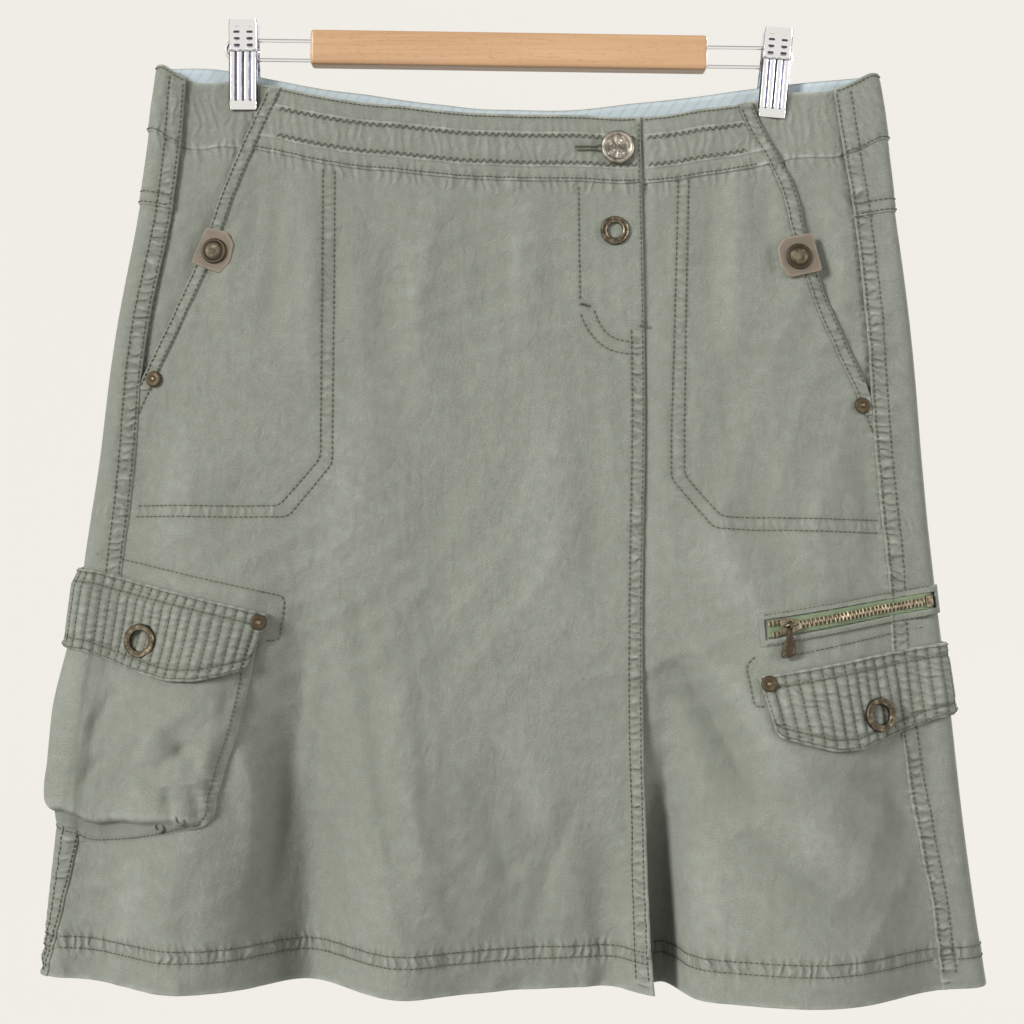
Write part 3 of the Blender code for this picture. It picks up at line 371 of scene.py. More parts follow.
    def band_seam(self, t: Any) -> Array:
        """Height of the seam under the waistband."""
        return self.waist_line(t) - self.BAND

    def yoke_line(self, t: Any) -> Array:
        """Height of the back yoke's lower seam."""
        return smooth(self.YOKE, self.x_at(t, -110.0))

    def hem_line(self, x: Any) -> Array:
        """Height of the hem's edge."""
        return self.HEM + self.HEM_SLOPE * x

    def at_hem(self, t: Any) -> Array:
        """Height of the hem's edge at t."""
        return self.hem_line(self.x_at(t, self.HEM))

    def outer_left(self, z: Any, under: float = 0.0) -> Array:
        """The left front's outer edge: pocket mouth, then side seam, that far under the lap."""
        seam, mouth = smooth(self.LAP_LEFT, z) - under, smooth(self.SLANT_LEFT, z)
        return np.where(np.asarray(z) > -230, np.maximum(mouth, seam), seam)

    def outer_right(self, z: Any, under: float = 0.0) -> Array:
        """The right front's outer edge: pocket mouth, then side seam, that far under the lap."""
        seam, mouth = smooth(self.LAP_RIGHT, z) + under, smooth(self.SLANT_RIGHT, z)
        return np.where(np.asarray(z) > -245, np.minimum(mouth, seam), seam)

    def fly(self, z: Any) -> Array:
        """x of the lap's free edge."""
        return smooth(self.FLY, z)


# ---------------------------------------------------------------- shader expressions

@dataclass(frozen=True)
class Value:
    """A shader socket that can stand in an arithmetic expression."""

    tree: Any
    socket: Any

    def math(self, kind: str, *values: Any) -> "Value":
        """Add a Math node of that kind on these values."""
        node = self.tree.nodes.new("ShaderNodeMath")
        node.operation = kind
        for slot, value in zip(node.inputs, values):
            if isinstance(value, Value):
                self.tree.links.new(value.socket, slot)
            else:
                slot.default_value = value
        return Value(self.tree, node.outputs[0])

    def __add__(self, other: Any) -> "Value":
        """Sum."""
        return self.math("ADD", self, other)

    def __sub__(self, other: Any) -> "Value":
        """Difference."""
        return self.math("SUBTRACT", self, other)

    def __rsub__(self, other: Any) -> "Value":
        """Difference from a number."""
        return self.math("SUBTRACT", other, self)

    def __mul__(self, other: Any) -> "Value":
        """Product."""
        return self.math("MULTIPLY", self, other)

    __radd__ = __add__
    __rmul__ = __mul__

    def sine(self) -> "Value":
        """Sine, -1 to 1."""
        return self.math("SINE", self)

    def clamp(self, low: float = 0.0, high: float = 1.0) -> "Value":
        """Kept between two numbers."""
        return self.math("MINIMUM", self.math("MAXIMUM", self, low), high)


class Paint:
    """One material being built."""

    def __init__(self, name: str) -> None:
        """Start a Principled material."""
        self.material = bpy.data.materials.new(name)
        self.material.use_nodes = True
        self.tree = self.material.node_tree
        self.shader = self.tree.nodes["Principled BSDF"]

    def node(self, kind: str, settings: dict | None = None, inputs: dict | None = None) -> Any:
        """Add a node.

        Args:
            kind: Node type without its prefix.
            settings: Properties, set first.
            inputs: Values or links by socket name or number.

        Returns:
            The node.
        """
        made = self.tree.nodes.new("ShaderNode" + kind)
        for key, value in (settings or {}).items():
            setattr(made, key, value)
        for key, value in (inputs or {}).items():
            self.feed(made.inputs[key], value)
        return made

    def feed(self, slot: Any, value: Any) -> None:
        """Link a value to a socket, or set it there."""
        if isinstance(value, Value):
            self.tree.links.new(value.socket, slot)
        else:
            slot.default_value = value

    def out(self, node: Any, which: Any = 0) -> Value:
        """A node's output as a value."""
        return Value(self.tree, node.outputs[which])

    def place(self, kind: str, scale: Any) -> Value:
        """Coordinates of one kind, scaled.

        Args:
            kind: Output of Texture Coordinate.
            scale: A number or three numbers.

        Returns:
            The scaled vector.
        """
        three = scale if isinstance(scale, tuple) else (scale,) * 3
        source = self.out(self.node("TexCoord"), kind)
        made = self.node("VectorMath", {"operation": "MULTIPLY"}, {0: source, 1: three})
        return self.out(made)

    def noise(self, vector: Value, scale: float = 1.0, detail: float = 2.0) -> Value:
        """Noise of about 0.25 to 0.75."""
        made = self.node("TexNoise", None, {"Vector": vector, "Scale": scale, "Detail": detail})
        return self.out(made)

    def axis(self, vector: Value, which: int) -> Value:
        """One of a vector's three numbers."""
        return self.out(self.node("SeparateXYZ", None, {0: vector}), which)

    def attribute(self, name: str) -> Value:
        """A number kept at the mesh's points."""
        return self.out(self.node("Attribute", {"attribute_name": name}), "Fac")

    def mix(self, share: Any, first: Any, second: Any) -> Value:
        """Colours mixed by share."""
        made = self.node("Mix", {"data_type": "RGBA"})
        for slot, value in ((0, share), (6, first), (7, second)):
            if isinstance(value, tuple):
                value = (*value, 1.0)
            self.feed(made.inputs[slot], value)
        return self.out(made, 2)

    def bump(self, height: Value, distance: float, strength: float = 1.0) -> None:
        """Feed the normal with a bump whose height is in units of distance (mm)."""
        made = self.node("Bump", None, {"Height": height, "Strength": strength,
                                        "Distance": distance * MM})
        self.feed(self.shader.inputs["Normal"], self.out(made))

    def set(self, **values: Any) -> None:
        """Set sockets of the Principled shader; underscores stand for spaces."""
        for key, value in values.items():
            if isinstance(value, tuple):
                value = (*value, 1.0)
            self.feed(self.shader.inputs[key.replace("_", " ")], value)


@dataclass(frozen=True)
class Twill:
    """Garment-washed cotton twill: mottled, paler where seams and edges were rubbed, with painted shade
    in the troughs.
    """

    name: str = "washed_cotton_twill"
    cloth: tuple = (0.338, 0.350, 0.296)
    deep: tuple = (0.225, 0.237, 0.190)
    pale: tuple = (0.560, 0.575, 0.510)
    wale: float = 0.85

    def material(self) -> bpy.types.Material:
        """Mottle of three sizes, rubbed places and painted shade from the mesh, and a diagonal weave.
        """
        paint = Paint(self.name)
        mm = paint.place("UV", 1000.0)
        cloud = paint.noise(mm, 0.018, 3.0)
        mottle = paint.noise(mm, 0.16, 4.0)
        grain = paint.noise(mm, 1.25, 2.0)
        u, v = paint.axis(mm, 0), paint.axis(mm, 1)
        twill = ((u * 0.62 + v) * (TAU / self.wale)).sine()
        yarn = ((u - v * 0.45) * (TAU / 0.6)).sine()
        wash, soil_and_painted_shade = paint.attribute("wash"), paint.attribute("soil_and_painted_shade")
        crinkle = paint.noise(paint.place("UV", (1000.0, 520.0, 1000.0)), 0.06, 3.0)
        valley = crinkle.math("ABSOLUTE", crinkle - 0.5)
        small = paint.noise(mm, 0.17, 2.0)
        crease = small.math("ABSOLUTE", small - 0.5)
        bend, high = paint.noise(mm, 0.07, 2.0), paint.noise(mm, 0.16, 1.0)
        down = (v * (TAU / 4.9) + u * 0.16 + bend * 15.0).sine() * paint.attribute("gather_down")
        across = (u * (TAU / 5.2) + v * 0.14 + bend * 15.0).sine()
        across = across * paint.attribute("gather_across")
        gather = (down + across) * (high * 2.4 - 0.35).clamp(0.15, 1.2)
        # the seam ripples colour the cloth in step with their bump: painted shading, darker in their
        # troughs and paler on their crests
        tone = (gather * 0.38 + (cloud - 0.5) * 0.45 + (mottle - 0.5) * 0.7 + (grain - 0.5) * 1.5
                + twill * 0.10)
        colour = paint.mix((0.42 - tone).clamp(), self.cloth, self.deep)
        patch = (wash * (0.35 + mottle * 1.3) + (tone - 0.12).clamp() * 0.45).clamp(0.0, 0.85)
        colour = paint.mix(patch, colour, self.pale)
        # painted shade: the deep colour where the mesh's shade attribute is high
        colour = paint.mix((soil_and_painted_shade * (0.6 + mottle * 0.8)).clamp(0.0, 0.8), colour, self.deep)
        paint.set(Base_Color=colour, Roughness=0.93, Specular_IOR_Level=0.16)
        paint.set(Sheen_Weight=0.10, Sheen_Roughness=0.5)
        paint.bump(twill * 0.7 + yarn * 0.4 + grain * 1.8 + mottle * 2.2 + valley * 22.0 + crease * 8.0
                   + gather * 6.5, 0.14, 1.0)
        return paint.material


@dataclass(frozen=True)
class Shirting:
    """Pale shirting with thin stripes on the slant."""

    name: str = "striped_shirting"

    def material(self) -> bpy.types.Material:
        """Two sets of thin blue-grey stripes over a pale ground."""
        paint = Paint(self.name)
        mm = paint.place("UV", 1000.0)
        u, v = paint.axis(mm, 0), paint.axis(mm, 1)
        slant = u * 0.8 + v * 0.6
        stripe = ((slant * (TAU / 5.2)).sine() * 3.0 - 1.6).clamp()
        fine = ((slant * (TAU / 1.3)).sine() * 2.0 - 0.6).clamp()
        mottle = paint.noise(mm, 0.3, 3.0)
        colour = paint.mix(stripe * 0.28 + fine * 0.08, (0.52, 0.595, 0.625), (0.27, 0.34, 0.40))
        colour = paint.mix((mottle - 0.35).clamp(0, 0.4), colour, (0.50, 0.55, 0.53))
        paint.set(Base_Color=colour, Roughness=0.9, Specular_IOR_Level=0.2)
        paint.bump(mottle * 1.5 + fine, 0.08)
        return paint.material


@dataclass(frozen=True)
class ZipCloth:
    """The zip's woven tape."""

    name: str = "zip_tape_weave"

    def material(self) -> bpy.types.Material:
        """A dull green with fine ribs along the tape."""
        paint = Paint(self.name)
        mm = paint.place("UV", 1000.0)
        rib = (paint.axis(mm, 1) * (TAU / 0.9)).sine()
        mottle = paint.noise(mm, 0.5, 3.0)
        colour = paint.mix(mottle, (0.165, 0.215, 0.120), (0.270, 0.325, 0.205))
        colour = paint.mix((rib * 0.5 + 0.5) * 0.25, colour, (0.11, 0.14, 0.08))
        paint.set(Base_Color=colour, Roughness=0.85, Specular_IOR_Level=0.25)
        paint.bump(rib + mottle, 0.1)
        return paint.material


@dataclass(frozen=True)
class Plain:
    """Thread and other small cloth-like things: one colour that varies a little."""

    name: str
    colour: tuple
    other: tuple
    roughness: float = 0.8

    def material(self) -> bpy.types.Material:
        """Two colours mixed by noise, with a twisted look in the bump."""
        paint = Paint(self.name)
        mm = paint.place("Object", 1000.0)
        speckle = paint.noise(mm, 0.22, 3.0)
        paint.set(Base_Color=paint.mix(((speckle - 0.3) * 2.2).clamp(), self.colour, self.other))
        paint.set(Roughness=self.roughness, Specular_IOR_Level=0.25)
        paint.bump(paint.noise(mm, 3.0, 2.0), 0.08)
        return paint.material


@dataclass(frozen=True)
class Hide:
    """Leather with fine pores and darker, waxed patches."""

    name: str = "aged_leather"

    def material(self) -> bpy.types.Material:
        """Cell-shaped pebbles under soft patches of two browns."""
        paint = Paint(self.name)
        mm = paint.place("Object", 1000.0)
        cells = paint.out(paint.node("TexVoronoi", None, {"Vector": mm, "Scale": 0.9}), 0)
        patch = paint.noise(mm, 0.12, 4.0)
        fine = paint.noise(mm, 1.6, 2.0)
        wash = paint.attribute("wash")
        colour = paint.mix(((patch - 0.32) * 2.4).clamp(), (0.205, 0.158, 0.110),
                           (0.136, 0.117, 0.088))
        colour = paint.mix((fine - 0.45).clamp(0, 0.35), colour, (0.13, 0.10, 0.075))
        colour = paint.mix(wash * 0.6, colour, (0.38, 0.32, 0.24))
        paint.set(Base_Color=colour, Roughness=0.55 + fine * 0.15, Specular_IOR_Level=0.4)
        paint.bump(cells * 0.8 + fine * 0.6 + patch * 1.5, 0.16)
        return paint.material


@dataclass(frozen=True)
class Metal:
    """A plated metal with a patina that gathers in patches and in the trims' hollows, and painted dark
    reflections on the chrome clips.
    """

    name: str
    bright: tuple
    dark: tuple
    patina: float
    roughness: float
    bump: float = 0.03

    def material(self) -> bpy.types.Material:
        """Bright and dark tones by noise and by the mesh's attribute; the dark ones are rougher."""
        paint = Paint(self.name)
        mm = paint.place("Object", 1000.0)
        cloud = paint.noise(mm, 0.3, 4.0)
        fine = paint.noise(mm, 2.2, 2.0)
        soil_and_painted_shade = paint.attribute("soil_and_painted_shade")
        # the attribute: patina in the trims' hollows, painted dark reflections in the chrome clips'
        # flutes and edges
        share = ((cloud - 0.5) * 2.2 + (fine - 0.5) * 0.8 + soil_and_painted_shade * 3.6 + self.patina).clamp()
        paint.set(Base_Color=paint.mix(share, self.bright, self.dark), Metallic=1.0)
        paint.set(Roughness=(share * 0.28 + self.roughness).clamp())
        paint.bump(fine + cloud, self.bump)
        return paint.material


@dataclass(frozen=True)
class Beech:
    """Varnished beech with long grain and short dark flecks."""

    name: str = "varnished_beech"

    def material(self) -> bpy.types.Material:
        """Grain stretched along the bar, flecks a few millimetres long, a thin varnish."""
        paint = Paint(self.name)
        grain = paint.noise(paint.place("Object", (14.0, 420.0, 520.0)), 1.0, 4.0)
        broad = paint.noise(paint.place("Object", (6.0, 60.0, 90.0)), 1.0, 2.0)
        fleck = paint.noise(paint.place("Object", (300.0, 1500.0, 1700.0)), 1.0, 1.0)
        tone = ((grain - 0.5) * 1.5 + (broad - 0.5) * 1.4 + 0.45).clamp()
        colour = paint.mix(tone, (0.61, 0.376, 0.201), (0.475, 0.263, 0.124))
        colour = paint.mix(((fleck - 0.62) * 6).clamp(0, 0.45), colour, (0.38, 0.19, 0.09))
        paint.set(Base_Color=colour, Roughness=0.42 + grain * 0.12, Coat_Weight=0.25)
        paint.set(Coat_Roughness=0.25)
        paint.bump(grain + fleck * 0.5, 0.05)
        return paint.material


class Finishes:
    """Every finish, made once."""

    def __init__(self) -> None:
        """Build the materials."""
        self.twill = Twill().material()
        self.shirting = Shirting().material()
        self.tape = ZipCloth().material()
        self.thread = Plain("olive_thread", (0.090, 0.094, 0.062), (0.165, 0.168, 0.122)).material()
        self.eyelet = Plain("eyelet_thread", (0.13, 0.14, 0.105), (0.22, 0.23, 0.18)).material()
        self.leather = Hide().material()
        metals = (
            Metal("antique_brass", (0.38, 0.31, 0.20), (0.085, 0.066, 0.042), 0.55, 0.34),
            Metal("worn_brass", (0.46, 0.38, 0.27), (0.13, 0.10, 0.07), 0.42, 0.40),
            Metal("dark_bronze", (0.34, 0.285, 0.20), (0.066, 0.054, 0.038), 0.58, 0.28),
            Metal("antique_silver", (0.50, 0.46, 0.40), (0.13, 0.11, 0.09), 0.50, 0.34),
            # chrome's dark tone shows only where its painted dark reflections are
            Metal("chrome", (0.90, 0.90, 0.92), (0.07, 0.07, 0.10), -1.3, 0.08, 0.002),
            Metal("spring_wire", (0.58, 0.58, 0.60), (0.32, 0.32, 0.34), 0.3, 0.2),
        )
        (self.brass, self.teeth, self.bronze, self.silver, self.chrome,
         self.spring) = (metal.material() for metal in metals)
        self.beech = Beech().material()


# ---------------------------------------------------------------- meshes

def make_object(name: str, points: Array, faces: Sequence[Array], look: bpy.types.Material,
                uv: Array | None = None, facts: dict[str, Array] | None = None) -> Any:
    """A mesh object from points in mm.

    Args:
        name: Its name.
        points: Rows of x, y, z.
        faces: Arrays of faces, each with its own number of corners.
        look: Material.
        uv: A pair for each point, in metres.
        facts: Numbers for each point, by attribute name.

    Returns:
        The object.
    """
    mesh = bpy.data.meshes.new(name)
    rows = [row for block in faces for row in np.asarray(block).tolist()]
    mesh.from_pydata((np.asarray(points) * MM).tolist(), [], rows)
    if uv is not None:
        corner = np.empty(len(mesh.loops), dtype=np.int32)
        mesh.loops.foreach_get("vertex_index", corner)
        mesh.uv_layers.new(name="cloth").data.foreach_set("uv", uv[corner].ravel())
    for key, numbers in (facts or {}).items():
        mesh.attributes.new(key, "FLOAT", "POINT").data.foreach_set("value", numbers.ravel())
    mesh.materials.append(look)
    mesh.shade_smooth()
    made = bpy.data.objects.new(name, mesh)
    bpy.context.scene.collection.objects.link(made)
    return made


def grid_faces(rows: int, columns: int, wrap: bool = False) -> Array:
    """Quads of a grid, facing the way of (down, across); wrap joins the last column to the first."""
    index = np.arange(rows * columns).reshape(rows, columns)
    if wrap:
        index = np.concatenate([index, index[:, :1]], axis=1)
    corners = (index[:-1, :-1], index[1:, :-1], index[1:, 1:], index[:-1, 1:])
    return np.stack(corners, axis=-1).reshape(-1, 4)


def wall_faces(rows: int, columns: int) -> Array:
    """Quads of a closed wall: an outer grid, an inner one after it, and the rim between."""
    index = np.arange(rows * columns).reshape(rows, columns)
    outer = grid_faces(rows, columns)
    rim = np.concatenate([index[0, :], index[1:, -1], index[-1, -2::-1], index[-2:0:-1, 0]])
    behind = rim + rows * columns
    sides = np.stack([rim, np.roll(rim, -1), np.roll(behind, -1), behind], axis=-1)
    return np.concatenate([outer, outer[:, ::-1] + rows * columns, sides])


def joined(parts: Sequence[tuple[Array, Sequence[Array]]]) -> tuple[Array, list[Array]]:
    """Several (points, faces) as one."""
    points, faces, count = [], [], 0
    for part_points, part_faces in parts:
        points.append(part_points)
        faces += [np.asarray(block) + count for block in part_faces]
        count += len(part_points)
    return np.concatenate(points), faces


def lathe(profile: Table, segments: int, lift: Callable | None = None) -> tuple[Array, list[Array]]:
    """A solid turned about Z.

    Each profile row (radius, height) becomes a ring. A first or last row on the axis becomes one
    point; otherwise the last ring joins the first, as on a washer. The profile runs from the top
    outwards and down.

    Args:
        profile: Rows of (radius, height), in mm.
        segments: Points on a ring.
        lift: Height to add, from arrays of radius and angle.

    Returns:
        Points and faces.
    """
    turn = np.arange(segments) * TAU / segments
    radius, height = np.array(profile, float).T
    solid = radius[0] == 0
    rings = slice(1, -1) if solid else slice(None)
    r, h = radius[rings, None] + 0 * turn, height[rings, None] + 0 * turn
    if lift:
        h = h + lift(r, turn + 0 * r) * (h > 0.5 * height.max())
    points = np.stack([r * np.cos(turn), r * np.sin(turn), h], axis=-1).reshape(-1, 3)
    rows = len(r)
    faces = [grid_faces(rows, segments, wrap=True)]
    ring, last = np.arange(segments), (rows - 1) * segments
    after = np.roll(ring, -1)
    if solid:
        top = len(points)
        points = np.concatenate([points, [[0, 0, height[0]], [0, 0, height[-1]]]])
        faces.append(np.stack([ring * 0 + top, ring, after], axis=-1))
        faces.append(np.stack([ring * 0 + top + 1, after + last, ring + last], axis=-1))
    else:
        faces.append(np.stack([ring + last, ring, after, after + last], axis=-1))
    return points, faces


def rod(path: Array, radius: Any, sides: int = 8, up: Sequence[float] = (0, 1, 0)) -> tuple:
    """A round rod along a path, closed at both ends.

    Rings stand square to the path, their axes from its tangent and the direction up.

    Args:
        path: Points in mm.
        radius: One number, or one for each point.
        sides: Points on a ring.
        up: A direction that the path never takes.

    Returns:
        Points and faces.
    """
    tangent = np.gradient(path, axis=0)
    tangent /= np.linalg.norm(tangent, axis=1, keepdims=True)
    side = np.cross(tangent, np.asarray(up, float))
    side /= np.linalg.norm(side, axis=1, keepdims=True)
    other = np.cross(side, tangent)
    turn = (np.arange(sides) * TAU / sides)[None, :, None]
    wide = np.broadcast_to(np.asarray(radius, float), (len(path),))[:, None, None]
    ring = side[:, None] * np.cos(turn) + other[:, None] * np.sin(turn)
    points = (path[:, None] + wide * ring).reshape(-1, 3)
    body = grid_faces(len(path), sides, wrap=True)
    first = np.arange(sides)
    last = first + (len(path) - 1) * sides
    return points, [body, first[None, :], last[None, ::-1]]


def turning(ring: Array) -> float:
    """Twice a closed line's area: more than 0 where it runs anticlockwise."""
    after = np.roll(ring, -1, axis=0)
    return (ring[:, 0] * after[:, 1] - after[:, 0] * ring[:, 1]).sum()


def dress(made: Any) -> None:
    """Ride on the skirt."""
    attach(made, Body.SKIRT.value)


def slab(outline: Array, low: float, high: float, bevel: float) -> tuple[Array, list[Array]]:
    """An outline with a thickness and bevelled edges.

    Rings of the outline, drawn in towards its middle by the bevel at the top and bottom.

    Args:
        outline: Corners, (x, y), anticlockwise or clockwise.
        low: Bottom.
        high: Top.
        bevel: Width of the bevel.

    Returns:
        Points and faces.
    """
    outline = np.asarray(outline, float)
    if turning(outline) < 0:
        outline = outline[::-1]
    tangent = np.roll(outline, -1, axis=0) - np.roll(outline, 1, axis=0)
    inward = np.stack([-tangent[:, 1], tangent[:, 0]], axis=-1)
    inward /= np.linalg.norm(inward, axis=1, keepdims=True)
    rings = [(bevel, high), (bevel * 0.3, high - bevel * 0.3), (0, high - bevel), (0, low + bevel),
             (bevel, low)]
    count = len(outline)
    points = np.concatenate([np.column_stack([outline + inward * b, np.full(count, h)])
                             for b, h in rings])
    top, bottom = np.arange(count), np.arange(count) + (len(rings) - 1) * count
    return points, [grid_faces(len(rings), count, wrap=True), top[None, :], bottom[None, ::-1]]


@dataclass(frozen=True)
class Seat:
    """A place on the cloth, with its own axes: X across, Y up, Z off the cloth."""

    origin: Array
    axes: Array

    def put(self, points: Array) -> Array:
        """Points of the seat's own space, placed."""
        return points @ self.axes + self.origin


def seat_on(form: Form, x: float, z: float, lift: float, facing: float = 0.0) -> Seat:
    """A seat on the front at (x, z).

    Args:
        form: The cloth's form.
        x: Across.
        z: Height.
        lift: Off the smooth tube; the creases there are added.
        facing: How far the seat is drawn round to face straight forward.

    Returns:
        The seat.
    """
    t = form.t_of(x, z)
    normal = form.outward(t, z) + np.array([0, -facing, 0])
    normal /= np.linalg.norm(normal)
    across = np.array([1.0, 0, 0]) - normal * normal[0]
    across /= np.linalg.norm(across)
    return Seat(form.place(t, z, lift), np.stack([across, np.cross(normal, across), normal]))


# ---------------------------------------------------------------- spacing

def reach(points: Array, axis: int = 0) -> Array:
    """Distance along a line of points, or along each line of a grid, from its start."""
    step = np.linalg.norm(np.diff(points, axis=axis), axis=-1)
    start = np.zeros_like(np.take(step, [0], axis=axis))
    return np.concatenate([start, np.cumsum(step, axis=axis)], axis=axis)


def spread(near: Sequence[float], count: int, far: Sequence[float]) -> tuple[Array, Array]:
    """Lines across a piece: at offsets from its first edge, evenly, then at offsets from its last.

    Args:
        near: Offsets from the first edge, rising from 0.
        count: Even lines between.
        far: Offsets from the last edge, rising from 0.

    Returns:
        Each line's share of the way, and the offset added to it.
    """
    share = np.linspace(0, 1, count + 2)[1:-1]
    weight = np.concatenate([np.zeros(len(near)), share, np.ones(len(far))])
    offset = np.concatenate([near, near[-1] * (1 - share) - far[-1] * share, -np.array(far)[::-1]])
    return weight, offset


EDGE = (0.0, 0.12, 0.4, 0.9, 1.6, 2.6)
SOFT_EDGE = (0.0, 0.15, 0.5, 1.1, 2.0)


def front_patch(form: Form, left: Callable, right: Callable, top: Callable, bottom: Callable,
                across: tuple, down: tuple) -> tuple[Array, Array]:
    """A grid on the front between four edges.

    Args:
        form: The cloth's form.
        left: x of the left edge at z.
        right: x of the right edge at z.
        top: z of the top edge at t.
        bottom: z of the bottom edge at t.
        across: Columns, from spread.
        down: Rows, from spread.

    Returns:
        t and z of the grid.
    """
    (wide, shift), (tall, drop) = across, down

    def columns(z: Array) -> Array:
        return form.t_of(left(z) * (1 - wide) + right(z) * wide + shift, z)

    z_top, z_bottom = top(columns(-60.0 + 0 * wide)), bottom(columns(-300.0 + 0 * wide))
    for _ in range(4):
        z_top, z_bottom = top(columns(z_top)), bottom(columns(z_bottom))
    z = z_top * (1 - tall[:, None]) + z_bottom * tall[:, None] - drop[:, None]
    return columns(z), z


# ---------------------------------------------------------------- cutting and sewing

class Tailor:
    """Cuts cloth pieces on the form, in place of the frame's parts."""

    def __init__(self, form: Form, finishes: Finishes) -> None:
        """Keep the form and the finishes."""
        self.form = form
        self.finishes = finishes
        self.pieces: list[Any] = []

    def cut(self, node: str, t: Array, z: Array, low: Any, high: Any, *,
            look: bpy.types.Material | None = None, slit: bool = False, rounding: float = 0.8,
            fade: Sequence[float] = (0.5, 0.5, 0.5, 0.5), rests_on: Sequence[str] = (),
            held: str = "hung", slot: str = "cotton_twill", padded: bool = False,
            nudge: Array | None = None, crest: Array | None = None, gather: float = 0.0) -> Any:
        """Make one cloth piece, a closed wall whose outer face rounds down at its edges.

        The outer face drops by a quarter circle over the rounding's width. The attribute wash is
        paler at the edges and on the puckers' crests, from wear; painted shade darkens their troughs
        and the creases' troughs.

        Args:
            node: The CAD node that it stands for.
            t: Places round the tube.
            z: Heights.
            low: Inner lift.
            high: Outer lift.
            look: Material, twill if not given.
            slit: Whether the piece follows the slit beside the lap.
            rounding: Radius of the edge.
            fade: How pale its left, right, top and bottom edges are.
            rests_on: Pieces that hold it.
            held: How it is held.
            slot: Material slot of the record.
            padded: Padded cloth rather than a sheet.
            nudge: Added to the outer points, in mm.
            crest: Further rubbed (+) and soiled (-) places.
            gather: Fine ripples down the whole piece.

        Returns:
            The object.
        """
        form = self.form
        t, z = np.broadcast_arrays(t, z)
        base, normal = form.tube(t, z, slit), form.outward(t, z, slit)
        relief = form.relief(t, z)
        across, down = reach(base, 1), reach(base)
        gaps = [across, across[:, -1:] - across, down, down[-1:] - down]
        nearest = np.minimum.reduce(gaps)
        edge = np.clip(nearest / rounding, 0, 1)
        crown = np.sqrt(1 - (1 - edge) ** 2)
        low, high = np.broadcast_to(low, t.shape), np.broadcast_to(high, t.shape)
        top = low + (high - low) * (0.2 + 0.8 * crown)
        outer = base + normal * (top + relief)[..., None]
        if nudge is not None:
            outer = outer + nudge
        inner = base + normal * (low + relief)[..., None]
        middle = across.shape[1] // 2
        u = across - across[:, middle:middle + 1] + base[:, middle:middle + 1, 0]
        uv = np.stack([u, z], axis=-1).reshape(-1, 2) * MM
        seam = form.pucker(t, z)
        gather_down, gather_across = form.seams(t, z)
        wander = 0.6 + 0.4 * np.sin(across * 0.31 + down * 0.23) * np.sin(across * 0.11 - down * 0.17)
        wash = sum(k * bell(gap - 0.5, 1.3) for k, gap in zip(fade, gaps)) * wander
        wash = np.clip(wash + 0.24 * np.clip(seam, 0, 1) + 0.07 * np.clip(relief, 0, 3), 0, 1)
        # painted shade: darker in the puckers' troughs and the creases' troughs
        soil_and_painted_shade = np.clip(0.65 * np.clip(-seam, 0, 1) + 0.05 * np.clip(-relief, 0, 6), 0, 1)
        if crest is not None:
            wash = np.clip(wash + np.clip(crest, 0, 1), 0, 1)
            soil_and_painted_shade = np.clip(soil_and_painted_shade + np.clip(-crest, 0, 1), 0, 1)
        points = np.concatenate([outer.reshape(-1, 3), inner.reshape(-1, 3)])
        facts = {key: np.concatenate([v.ravel(), v.ravel()]).astype(np.float32)
                 for key, v in (("wash", wash), ("soil_and_painted_shade", soil_and_painted_shade), ("gather_down", gather_down + gather),
                                ("gather_across", gather_across))}
        made = make_object(node + "_cloth", points, [wall_faces(*t.shape)],
                           look or self.finishes.twill, np.concatenate([uv, uv]), facts)
        self.pieces.append(made)
        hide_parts(node)
        dress(made)
        if padded:
            return made
        return made


